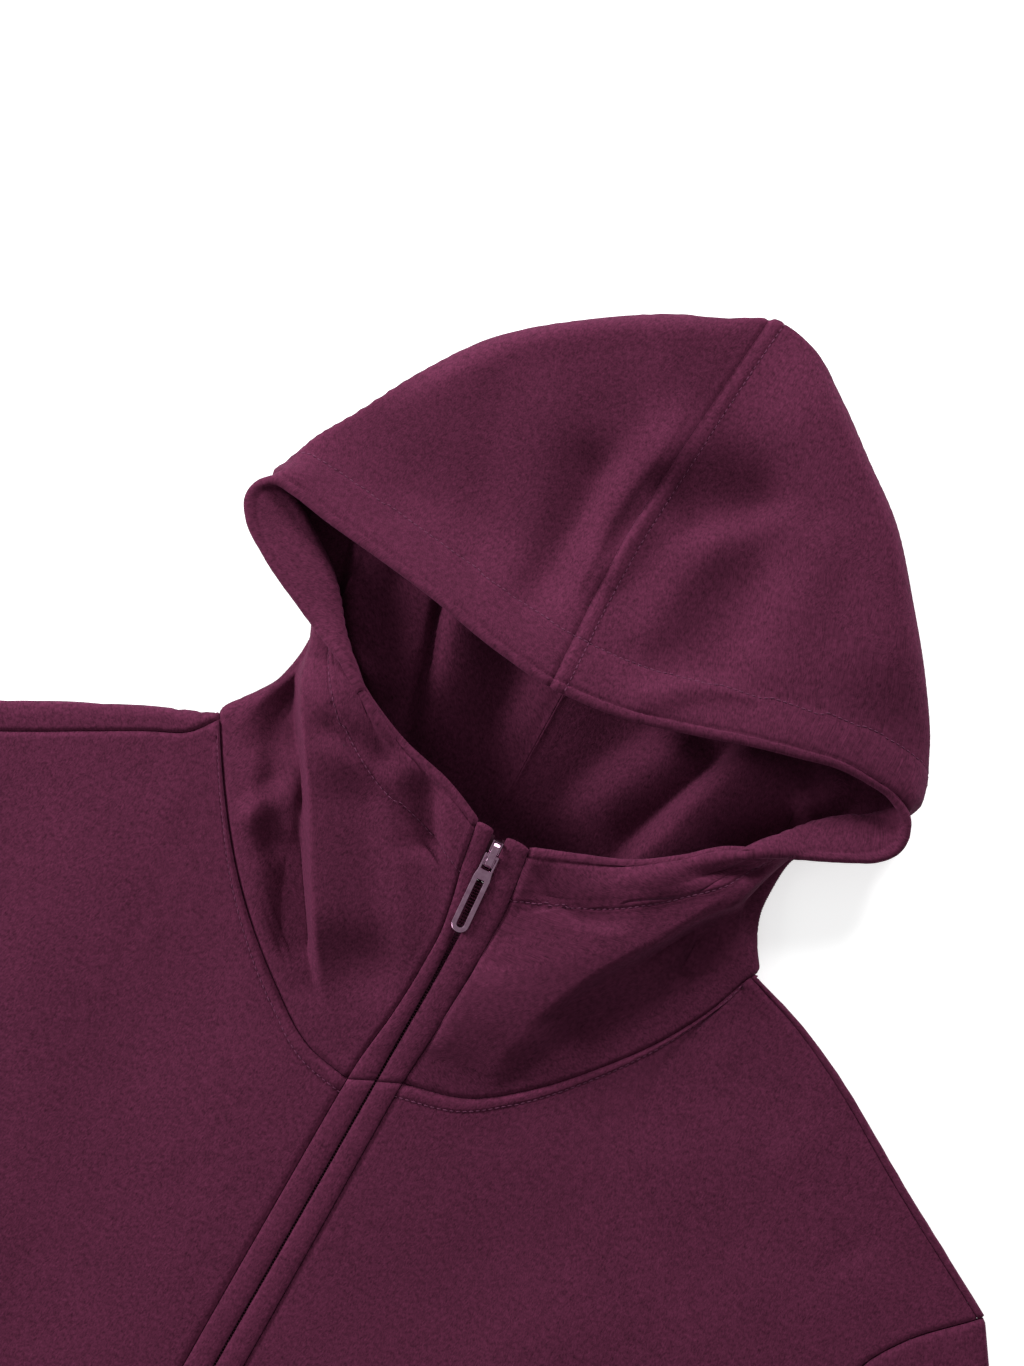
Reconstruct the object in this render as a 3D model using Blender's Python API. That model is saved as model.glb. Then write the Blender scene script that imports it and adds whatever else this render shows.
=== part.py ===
"""A zip-up hoodie laid flat on its back, with the zip closed and the hood's mouth held open.

Every piece that is cut and sewn is its own thin wall of cloth. The lengths below are in
millimetres from the point where the zip crosses the neck seam: x to the viewer's right,
y up the garment towards the hood, z up from the surface that the back lies on.
"""

import math

import bmesh
import bpy
import numpy as np
from mathutils import Matrix, Vector

MM = 0.001
CENTRE_SHIFT = (8.0, 84.5)  # moves the zip and neck crossing so that the origin is mid-garment

CLOTH = 1.8  # one layer of brushed double knit
HEM_LAYER = 1.4  # the turned layer inside a hem, pressed
SEAM_GAP = 0.3
BACK_Z = CLOTH / 2  # middle of the layer that lies on the surface
HEM_DEPTH = 22.0

# The opening edge of the hood, its neck seam, and the three lines between them. A row is a
# station round the hood, x, y, z. Station 0 is the left placket, 0.25 the left cheek, 0.5 the
# centre back and the middle of the brim, 0.75 the right cheek and 1 the right placket. A row
# with no station takes one by its distance from its neighbours.
NECK_SEAM = (
    (0.00, -11.2, -2.6, 7.0),
    (None, -30.8, 1.5, 7.0),
    (None, -55.5, 17.6, 6.6),
    (None, -86.9, 46.1, 6.2),
    (None, -109.4, 74.9, 6.0),
    (0.235, -124.6, 99.0, 5.9),
    (0.25, -126.2, 102.4, 3.4),
    (0.265, -123.0, 101.0, 0.9),
    (None, -104.0, 97.0, 0.9),
    (None, -60.0, 92.5, 0.9),
    (0.50, -9.0, 91.5, 0.9),
    (None, 46.0, 96.0, 0.9),
    (None, 90.0, 105.5, 0.9),
    (0.735, 109.6, 111.6, 0.9),
    (0.75, 112.6, 112.6, 3.4),
    (0.765, 110.8, 109.6, 5.9),
    (None, 103.0, 90.0, 6.0),
    (None, 93.1, 72.4, 6.0),
    (None, 75.3, 49.1, 6.2),
    (None, 55.8, 28.9, 6.6),
    (None, 34.3, 13.2, 7.0),
    (1.00, 8.8, 6.4, 7.4),
)
LOWER_LINE = (
    (0.00, -7.8, 30.0, 11.5),
    (0.10, -60.0, 50.0, 10.5),
    (0.18, -98.0, 84.0, 9.5),
    (0.22, -112.0, 112.0, 9.0),
    (0.25, -110.2, 126.0, 5.5),
    (0.262, -106.0, 138.0, 2.5),
    (0.275, -103.5, 150.0, 0.9),
    (0.31, -105.0, 184.0, 0.9),
    (0.37, -92.0, 222.0, 0.9),
    (0.44, -52.0, 268.0, 0.9),
    (0.50, -9.0, 292.0, 0.9),
    (0.56, 32.0, 270.0, 0.9),
    (0.63, 74.0, 228.0, 0.9),
    (0.69, 94.0, 190.0, 0.9),
    (0.725, 96.0, 152.0, 0.9),
    (0.738, 98.5, 139.0, 2.5),
    (0.75, 103.8, 126.6, 5.5),
    (0.78, 101.0, 113.0, 9.0),
    (0.83, 82.0, 84.0, 9.5),
    (0.91, 47.0, 52.0, 10.5),
    (1.00, 10.7, 32.0, 11.8),
)
FOLD_LINE = (
    (0.00, -6.6, 58.0, 16.5),
    (0.10, -65.0, 82.0, 16.0),
    (0.18, -99.0, 116.0, 13.0),
    (0.22, -105.0, 135.0, 10.0),
    (0.25, -107.0, 146.0, 7.0),
    (0.258, -108.5, 156.0, 6.0),
    (0.265, -117.0, 170.0, 5.5),
    (0.272, -138.0, 185.0, 6.0),
    (0.28, -149.8, 193.6, 6.5),
    (0.29, -148.6, 200.6, 7.2),
    (0.305, -146.0, 210.5, 10.0),
    (0.34, -134.2, 231.5, 15.0),
    (0.375, -119.0, 258.0, 19.0),
    (0.41, -99.5, 284.0, 22.0),
    (0.44, -76.0, 303.5, 23.0),
    (0.47, -42.0, 325.5, 21.0),
    (0.487, -24.0, 333.6, 18.5),
    (0.50, -8.0, 342.2, 17.0),
    (0.52, 12.0, 340.6, 15.5),
    (0.545, 31.5, 328.5, 14.0),
    (0.575, 53.5, 311.5, 14.0),
    (0.605, 75.0, 294.5, 14.0),
    (0.635, 95.5, 270.5, 13.0),
    (0.665, 114.5, 246.0, 12.0),
    (0.695, 129.6, 222.0, 10.0),
    (0.712, 134.6, 208.0, 8.5),
    (0.720, 134.6, 199.0, 8.0),
    (0.728, 124.0, 186.0, 6.5),
    (0.738, 107.0, 170.0, 5.5),
    (0.75, 96.6, 150.0, 7.5),
    (0.78, 93.0, 133.0, 11.0),
    (0.83, 81.0, 110.0, 14.0),
    (0.91, 44.0, 77.0, 16.0),
    (1.00, 12.0, 60.0, 16.7),
)
UPPER_LINE = (
    (0.00, -9.6, 85.5, 21.5),
    (0.05, -38.0, 102.0, 21.0),
    (0.085, -62.0, 122.0, 21.0),
    (0.11, -77.5, 134.5, 21.0),
    (0.13, -88.0, 143.5, 21.0),
    (0.15, -98.0, 153.0, 20.0),
    (0.175, -109.0, 166.5, 18.5),
    (0.21, -124.0, 179.0, 16.0),
    (0.235, -136.0, 186.5, 14.5),
    (0.255, -144.5, 191.5, 14.5),
    (0.27, -148.5, 195.0, 16.0),
    (0.29, -144.0, 199.5, 18.5),
    (0.31, -133.0, 203.0, 18.0),
    (0.36, -112.0, 213.0, 17.5),
    (0.42, -80.0, 222.0, 18.0),
    (0.46, -48.0, 226.0, 21.0),
    (0.50, -17.0, 232.0, 25.0),
    (0.55, 24.0, 232.0, 22.5),
    (0.60, 62.0, 229.0, 22.0),
    (0.65, 97.0, 221.0, 22.5),
    (0.70, 124.0, 208.0, 21.0),
    (0.718, 132.0, 202.5, 18.5),
    (0.735, 131.5, 196.0, 14.5),
    (0.75, 127.5, 190.0, 13.0),
    (0.775, 117.0, 184.5, 14.0),
    (0.80, 106.0, 176.5, 16.0),
    (0.82, 97.0, 167.0, 17.0),
    (0.84, 87.0, 156.0, 17.5),
    (0.87, 72.0, 134.0, 18.5),
    (0.89, 58.0, 116.0, 20.0),
    (0.93, 37.0, 98.0, 21.0),
    (1.00, 11.6, 86.0, 21.7),
)
OPENING_EDGE = (
    (0.00, -14.8, 112.2, 27.0),
    (None, -31.3, 119.4, 27.0),
    (None, -54.7, 125.4, 26.5),
    (None, -72.9, 133.0, 25.5),
    (None, -92.0, 143.2, 24.5),
    (None, -115.6, 154.0, 22.0),
    (None, -137.5, 164.9, 19.5),
    (None, -151.8, 175.4, 18.0),
    (0.25, -155.6, 182.0, 18.0),
    (None, -154.6, 189.0, 18.5),
    (None, -149.6, 193.4, 20.0),
    (None, -141.0, 193.2, 21.5),
    (None, -124.0, 190.4, 24.0),
    (None, -100.0, 187.4, 27.5),
    (None, -75.5, 184.0, 31.0),
    (None, -39.4, 177.2, 35.5),
    (0.50, -15.4, 174.8, 37.5),
    (None, 13.7, 177.4, 38.0),
    (None, 43.9, 185.4, 36.5),
    (None, 63.7, 191.6, 34.5),
    (None, 84.1, 196.8, 31.0),
    (None, 99.4, 200.3, 28.0),
    (None, 113.0, 200.6, 25.0),
    (None, 126.5, 199.0, 22.0),
    (None, 134.0, 195.0, 20.0),
    (0.75, 137.2, 188.0, 18.5),
    (None, 136.4, 181.0, 18.0),
    (None, 131.0, 174.6, 18.5),
    (None, 122.0, 169.6, 19.5),
    (None, 105.6, 162.0, 21.0),
    (None, 89.6, 155.4, 23.0),
    (None, 75.5, 148.8, 24.5),
    (None, 63.0, 138.4, 25.5),
    (None, 45.2, 126.4, 26.5),
    (None, 28.2, 119.4, 27.0),
    (1.00, 8.6, 112.0, 27.2),
)
HOOD_LEVELS = (0.0, 0.28, 0.52, 0.78, 1.0)

# The largest folds. Each has the layer it is pressed into, how far it rises or sinks, how far it
# reaches to the viewer's left and right, and its run over the plan, drawn downwards.
FOLDS = (
    ("left collar ridge", "collar", 11.0, 8.0, 48.0, ((-116, 158), (-98, 122), (-81, 97), (-30, 18))),
    ("left collar hollow", "collar", -6.0, 22.0, 8.0, ((-79, 84), (-70, 68), (-62, 54), (-46, 28))),
    ("right collar ridge", "collar", 9.0, 44.0, 10.0, ((112, 164), (85, 127), (64, 93), (54, 77), (30, 22))),
    ("right collar hollow", "collar", -5.0, 7.0, 32.0, ((90, 134), (76, 108), (60, 82), (44, 46))),
    ("inner left lip", "back", 8.0, 7.0, 32.0, ((-114, 196), (-106, 177), (-91, 149), (-70, 132))),
    ("inner left fold", "back", 10.0, 7.0, 30.0, ((-68, 206), (-62, 178), (-56, 158), (-48, 118))),
    ("inner middle ridge", "back", 8.0, 10.0, 18.0, ((46, 190), (37, 166), (27, 148), (19, 122))),
    ("inner right fold", "back", 14.0, 7.0, 38.0, ((74, 210), (66, 186), (55, 157), (40, 106))),
    ("crown roll left", "top", 6.0, 14.0, 56.0, ((-2, 331), (-69, 296), (-107, 251), (-122, 226))),
    ("crown roll right", "top", 9.0, 54.0, 20.0, ((-10, 331), (50, 306), (90, 265), (119, 217))),
    ("crown trough left", "top", -4.0, 15.0, 13.0, ((-40, 284), (-38, 256), (-35, 218), (-35, 196))),
    ("crown trough right", "top", -3.5, 18.0, 20.0, ((36, 276), (33, 253), (29, 214), (31, 194))),
)
FOLD_FADE = 0.25  # share of a fold's run over which it grows from nothing at each end

# The fronts meet under two raised strips. A row is y, the left strip's outer seam, the zip,
# the right strip's outer seam, the height of the cloth there, and the gap between the strips.
PLACKET = (
    (-515.0, -18.0, -8.0, 2.0, 5.8, 0.8),
    (-488.0, -17.8, -7.8, 2.2, 5.8, 0.8),
    (-462.0, -17.6, -7.6, 2.4, 4.8, 0.8),
    (-300.0, -15.8, -5.2, 4.6, 4.4, 0.8),
    (-130.0, -14.2, -3.4, 6.9, 4.8, 0.9),
    (-60.0, -12.8, -2.0, 7.9, 5.4, 0.9),
    (2.0, -11.1, -0.9, 8.7, 7.3, 0.9),
    (30.0, -7.8, -0.4, 10.6, 11.5, 1.1),
    (48.0, -6.7, -0.1, 11.6, 14.6, 1.4),
    (64.0, -6.5, -0.3, 12.1, 17.5, 1.9),
    (80.0, -8.6, -1.4, 12.1, 20.4, 3.6),
    (97.0, -12.4, -3.0, 10.8, 23.9, 5.6),
    (112.0, -14.8, -4.4, 8.6, 27.0, 5.8),
)
NECK_AT_ZIP = (-2.6, 2.2, 6.4)  # y of the neck seam at the left strip, the zip and the right strip
COLLAR_TOP = 112.0
PLACKET_THICK = 2.6
TAPE_THICK = 0.7
TEETH_HALF = 1.7  # from the zip's middle to the tape's edge
BOX_HEIGHT = 9.0

# Side of the body: y, left x, right x, height of the front's edge. The armhole starts at the
# underarm and ends at the shoulder.
SIDE = (
    (-515.0, -271.0, 255.0, 5.8),
    (-488.0, -272.0, 256.0, 5.8),
    (-462.0, -273.0, 257.0, 3.3),
    (-340.0, -276.0, 260.0, 3.1),
    (-260.0, -278.0, 262.0, 3.4),
    (-208.0, -279.0, 263.0, 4.8),
    (-172.0, -262.0, 246.0, 5.6),
    (-125.0, -246.5, 230.5, 6.0),
    (-75.0, -237.0, 221.0, 6.0),
    (-35.0, -235.0, 219.0, 6.0),
    (-8.0, -239.0, 223.0, 6.0),
    (10.0, -249.5, 233.0, 6.0),
)
UNDERARM_ROW = 5
HEM_Y = -515.0

# The shoulders: the fold that shows as the garment's edge, the seam in front of it, and the
# line behind it where the back comes down to the surface. Each runs from neck to armhole.
SHOULDER_FOLD = {
    "left": ((-127.8, 99.4), (-141.0, 94.0), (-170.0, 81.0), (-205.0, 63.0), (-274.0, 29.5)),
    "right": ((113.9, 109.6), (136.0, 102.4), (158.0, 92.4), (206.0, 64.0), (257.0, 34.6)),
}
SHOULDER_SEAM = {
    "left": ((-124.6, 99.0), (-133.0, 88.4), (-147.0, 81.4), (-200.0, 52.6), (-265.0, 21.6)),
    "right": ((110.8, 109.6), (135.0, 101.0), (156.7, 90.6), (204.2, 62.0), (255.5, 33.0)),
}
BACK_FALL = (5.3, -4.8)  # from the shoulder fold to where the back lies flat, left side
FOLD_Z = 3.4
OVER_Z = 5.9

# Sleeves: where the outer and the inner fold end at the cuff.
CUFF = {"left": ((-561.0, -403.0), (-484.0, -470.0)), "right": ((545.0, -403.0), (468.0, -470.0))}
UNDER_OUT = (2.6, -2.6)  # from the body's two underarm corners to the sleeve's lowest point
UNDER_GAP = 1.1  # the sleeve stands this much further off the body right at the underarm
UNDER_REACH = 7.0
SLEEVE_LOFT = 6.4  # middle of the sleeve's upper layer

# The pull tab turns on a bar under the slider's crown. Its frame is set at that bar, with y up
# the zip, and the lengths of the slider and the tab are measured in it.
HINGE = (-3.2, 103.4, 27.7)
ZIP_LEAN = 3.4  # degrees that the zip leans to the left at the top
ZIP_CLIMB = 10.6  # degrees that the tab climbs towards the slider
CROWN = {"width": 3.0, "upper": 6.4, "lower": -5.4, "top": 2.3, "thick": 1.0}
SLIDER_PLATE = {"width": 4.2, "upper": 6.0, "lower": -5.0, "top": -2.4, "thick": 1.0}
TAB = {
    "end": -33.6,
    "width": 7.2,
    "neck": 6.0,
    "slot": 3.0,
    "thick": 1.4,
    "bar": 0.65,
    "eye": -6.0,
    "plate": -10.4,
}

SIDES = ("left", "right")
NECK_CORNER = 0.5  # share of a front's top line that is neck seam; the rest is shoulder
NECK_CORNER_BACK = 0.28  # share of the back's width that each shoulder takes
NECK_TURN = 0.235  # station of the hood where the neck seam meets the shoulder seam
CHEEK_STATIONS = (0.235, 0.2425, 0.25, 0.258, 0.265, 0.272, 0.28)
HALF_STATIONS = np.concatenate(
    [np.linspace(0, NECK_TURN, 9)[:-1], CHEEK_STATIONS, np.linspace(0.29, 0.5, 11)]
)
FLAT_SHARE = 0.9  # share of the back's rows that lie flat; the rest go over the shoulder

CLOTH_COLOUR = (0.075, 0.017, 0.037, 1.0)
TAPE_COLOUR = (0.040, 0.010, 0.020, 1.0)
METAL_COLOUR = (0.52, 0.40, 0.47, 1.0)


# ---- curves through the rows of a table


def smooth(knots, values, at):
    """A cubic through table rows that never overshoots them, so flat stretches stay flat."""
    knots = np.asarray(knots, float)
    values = np.asarray(values, float)
    at = np.clip(np.asarray(at, float), knots[0], knots[-1])
    step = np.diff(knots)
    rate = np.diff(values, axis=0) / step[(...,) + (None,) * (values.ndim - 1)]
    before, after = rate[:-1], rate[1:]
    same_way = before * after > 0
    safe_before = np.where(same_way, before, 1.0)
    safe_after = np.where(same_way, after, 1.0)
    middle = np.where(same_way, 2.0 / (1.0 / safe_before + 1.0 / safe_after), 0.0)
    slope = np.concatenate([rate[:1], middle, rate[-1:]])
    row = np.clip(np.searchsorted(knots, at, side="right") - 1, 0, len(step) - 1)
    width = step[row][(...,) + (None,) * (values.ndim - 1)]
    f = ((at - knots[row]) / step[row])[(...,) + (None,) * (values.ndim - 1)]
    return (
        values[row] * (1 - f) ** 2 * (1 + 2 * f)
        + values[row + 1] * f**2 * (3 - 2 * f)
        + slope[row] * width * f * (1 - f) ** 2
        - slope[row + 1] * width * f**2 * (1 - f)
    )


def rounded(knots, values, at):
    """A cubic through table rows that bends evenly, for outlines."""
    knots = np.asarray(knots, float)
    values = np.asarray(values, float)
    at = np.clip(np.asarray(at, float), knots[0], knots[-1])
    step = np.diff(knots)[:, None]
    rate = np.diff(values, axis=0) / step
    inner = (rate[:-1] * step[1:] + rate[1:] * step[:-1]) / (step[1:] + step[:-1])
    slope = np.concatenate([rate[:1], inner, rate[-1:]])
    row = np.clip(np.searchsorted(knots, at, side="right") - 1, 0, len(step) - 1)
    width = step[row]
    f = ((at - knots[row]) / step[row, 0])[:, None]
    return (
        values[row] * (1 - f) ** 2 * (1 + 2 * f)
        + values[row + 1] * f**2 * (3 - 2 * f)
        + slope[row] * width * f * (1 - f) ** 2
        - slope[row + 1] * width * f**2 * (1 - f)
    )


def stations(rows):
    """The station of each row, with the missing ones spread by distance."""
    points = np.array([row[1:] for row in rows], float)
    run = np.concatenate([[0.0], np.cumsum(np.linalg.norm(np.diff(points, axis=0), axis=1))])
    known = [i for i, row in enumerate(rows) if row[0] is not None]
    return np.interp(run, run[known], [rows[i][0] for i in known])


def ring(rows, at):
    """Points of a line round the hood at the stations given."""
    points = np.array([row[1:] for row in rows], float)
    knots = stations(rows)
    plan = rounded(knots, points[:, :2], at)
    height = smooth(knots, points[:, 2:], at)
    return np.concatenate([plan, height], axis=1)


def by_distance(points):
    """How far along a line each of its points lies, from 0 to 1."""
    run = np.concatenate([[0.0], np.cumsum(np.linalg.norm(np.diff(points, axis=0), axis=1))])
    return run / run[-1]


def line_at(points, at):
    """Points of a plain line at shares of its length."""
    points = np.asarray(points, float)
    return smooth(by_distance(points), points, at)


# ---- folds


def fold_height(points, layer_weight):
    """How far the folds lift each point. layer_weight gives a layer's share of each point."""
    lift = np.zeros(points.shape[:-1])
    plan = points[..., :2]
    shares = np.linspace(0, 1, 25)
    grown = step_up(shares, 0, FOLD_FADE) * step_up(-shares, -1, FOLD_FADE - 1)
    for _name, layer, rise, reach_left, reach_right, run in FOLDS:
        run = np.array(run, float)
        run = rounded(by_distance(run), run, shares)
        best = np.zeros(points.shape[:-1])
        for start, end, low, high in zip(run[:-1], run[1:], grown[:-1], grown[1:]):
            length = np.linalg.norm(end - start)
            along = (end - start) / length
            offset = plan - start
            forward = np.clip(offset @ along, 0.0, length)
            away = np.linalg.norm(offset - forward[..., None] * along, axis=-1)
            leftward = (along[1] * offset[..., 0] - along[0] * offset[..., 1]) / np.maximum(away, 1e-9)
            leftward = np.clip(leftward, -1, 1)
            reach = (reach_left * (1 + leftward) + reach_right * (1 - leftward)) / 2
            here = low + (high - low) * forward / length
            best = np.maximum(best, here * np.clip(1 - (away / reach) ** 2, 0, 1) ** 2)
        lift += rise * best * layer_weight[layer]
    return lift


def step_up(x, low, high):
    """0 below low, 1 above high, and a soft rise between."""
    f = np.clip((x - low) / (high - low), 0, 1)
    return f * f * (3 - 2 * f)


# ---- the hood


def hood_surface(round_at, up_at):
    """The middle of the hood's cloth, for arrays of stations and of heights up the hood."""
    rows = (NECK_SEAM, LOWER_LINE, FOLD_LINE, UPPER_LINE, OPENING_EDGE)
    rings = np.stack([ring(r, np.asarray(round_at, float)) for r in rows])
    points = smooth(HOOD_LEVELS, rings, up_at).transpose(1, 0, 2)
    station = np.asarray(round_at, float)[:, None]
    for side, end, near in (("left", 0.0, 1 - station / 0.06), ("right", 1.0, 1 - (1 - station) / 0.06)):
        edge = smooth(HOOD_LEVELS, np.stack([ring(r, np.array([end])) for r in rows]), up_at)[:, 0]
        on_seam = table_line(PLACKET, [1 if side == "left" else 3, 4], edge[:, 1])
        points[..., (0, 2)] += (on_seam - edge[:, (0, 2)]) * step_up(near, 0, 1)[..., None]
    height = np.asarray(up_at, float)[None, :]
    at_back = step_up(station, 0.24, 0.28) * step_up(-station, -0.76, -0.72)
    held = step_up(height, 0.0, 0.10) * step_up(-height, -1.0, -0.9)
    over_top = step_up(height, 0.50, 0.62) * at_back
    weight = {
        "collar": (1 - at_back) * held,
        "back": at_back * (1 - step_up(height, 0.30, 0.46)) * held,
        "top": over_top,
    }
    points[..., 2] += fold_height(points, weight)
    points[..., 2] = np.maximum(points[..., 2], BACK_Z)
    return points


def surface_normals(surface, u, v, flip=False, bounds=(0.0, 1.0, 0.0, 1.0)):
    """Unit normals of a surface by its change in both directions."""
    nudge = 1e-3
    low_u, high_u = np.clip(u - nudge, bounds[0], bounds[1]), np.clip(u + nudge, bounds[0], bounds[1])
    low_v, high_v = np.clip(v - nudge, bounds[2], bounds[3]), np.clip(v + nudge, bounds[2], bounds[3])
    across = surface(high_u, v) - surface(low_u, v)
    along = surface(u, high_v) - surface(u, low_v)
    normal = np.cross(across, along)
    normal /= np.maximum(np.linalg.norm(normal, axis=-1, keepdims=True), 1e-12)
    return -normal if flip else normal


def hem_extra(points, depth, along_axis_end):
    """The inside layer of a turned hem: full within depth of the edge, nothing beyond it."""
    steps = np.linalg.norm(np.diff(points, axis=1), axis=-1)
    if along_axis_end:
        run = np.concatenate([np.cumsum(steps[:, ::-1], axis=1)[:, ::-1], np.zeros((len(points), 1))], axis=1)
    else:
        run = np.concatenate([np.zeros((len(points), 1)), np.cumsum(steps, axis=1)], axis=1)
    return HEM_LAYER * (1 - step_up(run, depth - 1.0, depth + 3.0))


# ---- walls


def pulled_in(points, sides, by=SEAM_GAP / 2):
    """Draws the named edges of a grid back from their seams."""
    points = points.copy()
    edges = {
        "u0": ((0, slice(None)), (1, slice(None))),
        "u1": ((-1, slice(None)), (-2, slice(None))),
        "v0": ((slice(None), 0), (slice(None), 1)),
        "v1": ((slice(None), -1), (slice(None), -2)),
    }
    for side in sides:
        edge, inner = edges[side]
        way = points[inner] - points[edge]
        way /= np.maximum(np.linalg.norm(way, axis=-1, keepdims=True), 1e-9)
        points[edge] = points[edge] + way * by
    return points


def grid_faces(rows, columns, closed):
    """Triangles of a wall: its outer sheet, its inner sheet, and the rims between them."""
    faces = []
    count = rows * columns
    row_pairs = [(i, (i + 1) % rows) for i in range(rows if closed else rows - 1)]
    for i, k in row_pairs:
        for j in range(columns - 1):
            a, b = i * columns + j, k * columns + j
            c, d = b + 1, a + 1
            faces += [(a, b, c), (a, c, d)]
            faces += [(a + count, c + count, b + count), (a + count, d + count, c + count)]
    for i, k in row_pairs:
        first, second = i * columns, k * columns
        faces += [(first, first + count, second + count), (first, second + count, second)]
        first, second = first + columns - 1, second + columns - 1
        faces += [(first, second + count, first + count), (first, second, second + count)]
    if not closed:
        for j in range(columns - 1):
            a, b = j, j + 1
            faces += [(a, b + count, a + count), (a, b, b + count)]
            a, b = (rows - 1) * columns + j, (rows - 1) * columns + j + 1
            faces += [(a, a + count, b + count), (a, b + count, b)]
    return faces


def wall(name, middle, normals, outer, inner, material, closed=False):
    """One piece of cloth: a grid of points moved out and in along its normals, and closed."""
    outer = np.broadcast_to(outer, middle.shape[:-1])[..., None]
    inner = np.broadcast_to(inner, middle.shape[:-1])[..., None]
    sheet_out = middle + normals * outer
    sheet_in = middle - normals * inner
    rows, columns = middle.shape[:2]
    points = np.concatenate([sheet_out.reshape(-1, 3), sheet_in.reshape(-1, 3)])
    faces = grid_faces(rows, columns, closed)
    across, along = np.gradient(middle, axis=0), np.gradient(middle, axis=1)
    if (np.cross(across, along) * normals).sum() < 0:
        faces = [face[::-1] for face in faces]
    return solid(name, points, faces, material)


def solid(name, points, faces, material):
    """An object from points in millimetres, in the part's own frame."""
    points = np.asarray(points, float).copy()
    points[:, 0] += CENTRE_SHIFT[0]
    points[:, 1] += CENTRE_SHIFT[1]
    mesh = bpy.data.meshes.new(name)
    mesh.from_pydata([tuple(p * MM) for p in points], [], faces)
    mesh.materials.append(material)
    mesh.shade_smooth()
    piece = bpy.data.objects.new(name, mesh)
    bpy.context.collection.objects.link(piece)
    return piece


def make_material(name, colour, roughness, metallic=0.0):
    material = bpy.data.materials.new(name)
    material.use_nodes = True
    shader = material.node_tree.nodes["Principled BSDF"]
    shader.inputs["Base Color"].default_value = colour
    shader.inputs["Roughness"].default_value = roughness
    shader.inputs["Metallic"].default_value = metallic
    material.diffuse_color = colour
    return material


# ---- the pieces


def make_hood(cloth):
    """Two halves with a seam over the crown, each cut in one with its side of the collar."""
    up_at = np.concatenate(
        [
            np.linspace(0, HOOD_LEVELS[1], 6)[:-1],
            np.linspace(HOOD_LEVELS[1], HOOD_LEVELS[2], 8)[:-1],
            np.linspace(HOOD_LEVELS[2], 0.84, 8)[:-1],
            np.linspace(0.84, 1.0, 5),
        ]
    )
    for side in SIDES:
        round_at = HALF_STATIONS if side == "left" else 1 - HALF_STATIONS[::-1]
        middle = hood_surface(round_at, up_at)
        normals = surface_normals(hood_surface, round_at, up_at, flip=True)
        turned = hem_extra(middle, HEM_DEPTH, along_axis_end=True)
        middle = pulled_in(middle, ("u0", "u1", "v0"))
        wall(f"hood_{side}", middle, normals, CLOTH / 2, CLOTH / 2 + turned, cloth)


def table_line(rows, columns, at):
    """Some columns of a table whose first column is y, at the y values given."""
    rows = np.array(rows, float)
    return smooth(rows[:, 0], rows[:, columns], at)


def placket_line(side, at):
    """Points of the seam between a front and its raised strip, from hem to neck seam."""
    column = 1 if side == "left" else 3
    top = NECK_AT_ZIP[0] if side == "left" else NECK_AT_ZIP[2]
    y = HEM_Y + (top - HEM_Y) * np.asarray(at, float)
    found = table_line(PLACKET, [column, 4], y)
    return np.stack([found[:, 0], y, found[:, 1]], axis=1)


def side_line(side, end, at, lift=None):
    """Points of the side seam and the armhole, from hem to a given end at the shoulder."""
    rows = np.array(SIDE, float)
    points = np.stack([rows[:, 1 if side == "left" else 2], rows[:, 0], rows[:, 3]], axis=1)
    if lift is not None:
        points[:, 2] = lift
    points = np.concatenate([points, [end]])
    return smooth(by_distance(points), points, at)


def underarm_share(side, end):
    """How far along side_line the underarm lies."""
    rows = np.array(SIDE, float)
    points = np.stack([rows[:, 1 if side == "left" else 2], rows[:, 0], rows[:, 3]], axis=1)
    return by_distance(np.concatenate([points, [end]]))[UNDERARM_ROW]


def shoulder_seam(side, at):
    points = [(x, y, OVER_Z) for x, y in SHOULDER_SEAM[side]]
    return line_at(points, at)


def stretched(bottom, top, start, end, u, v):
    """A sheet between four edges, each a function from a share of its length to points."""
    u, v = np.asarray(u, float), np.asarray(v, float)
    ends = np.array([0.0, 1.0])
    low, high = bottom(ends), top(ends)
    across, along = u[:, None, None], v[None, :, None]
    corners = (1 - along) * ((1 - across) * low[0] + across * low[1])
    corners = corners + along * ((1 - across) * high[0] + across * high[1])
    by_rows = (1 - along) * bottom(u)[:, None] + along * top(u)[:, None]
    by_columns = (1 - across) * start(v)[None] + across * end(v)[None]
    return by_rows + by_columns - corners


def front_surface(side):
    """The middle of a front's cloth: u from placket to side, v from hem to neck and shoulder."""
    first, last = (0.0, NECK_TURN) if side == "left" else (1.0, 1 - NECK_TURN)
    shoulder_end = np.array([*SHOULDER_SEAM[side][-1], OVER_Z])

    def side_edge(v):
        return side_line(side, shoulder_end, v)

    def placket_edge(v):
        return placket_line(side, v)

    def hem(u):
        corner = side_edge(np.array([0.0]))
        return placket_edge(np.array([0.0])) * (1 - u[:, None]) + corner * u[:, None]

    def top(u):
        on_neck = ring(NECK_SEAM, first + (last - first) * np.clip(u / NECK_CORNER, 0, 1))
        on_shoulder = shoulder_seam(side, np.clip((u - NECK_CORNER) / (1 - NECK_CORNER), 0, 1))
        return np.where((u <= NECK_CORNER)[:, None], on_neck, on_shoulder)

    def surface(u, v):
        return stretched(hem, top, placket_edge, side_edge, u, v)

    return surface


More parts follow.
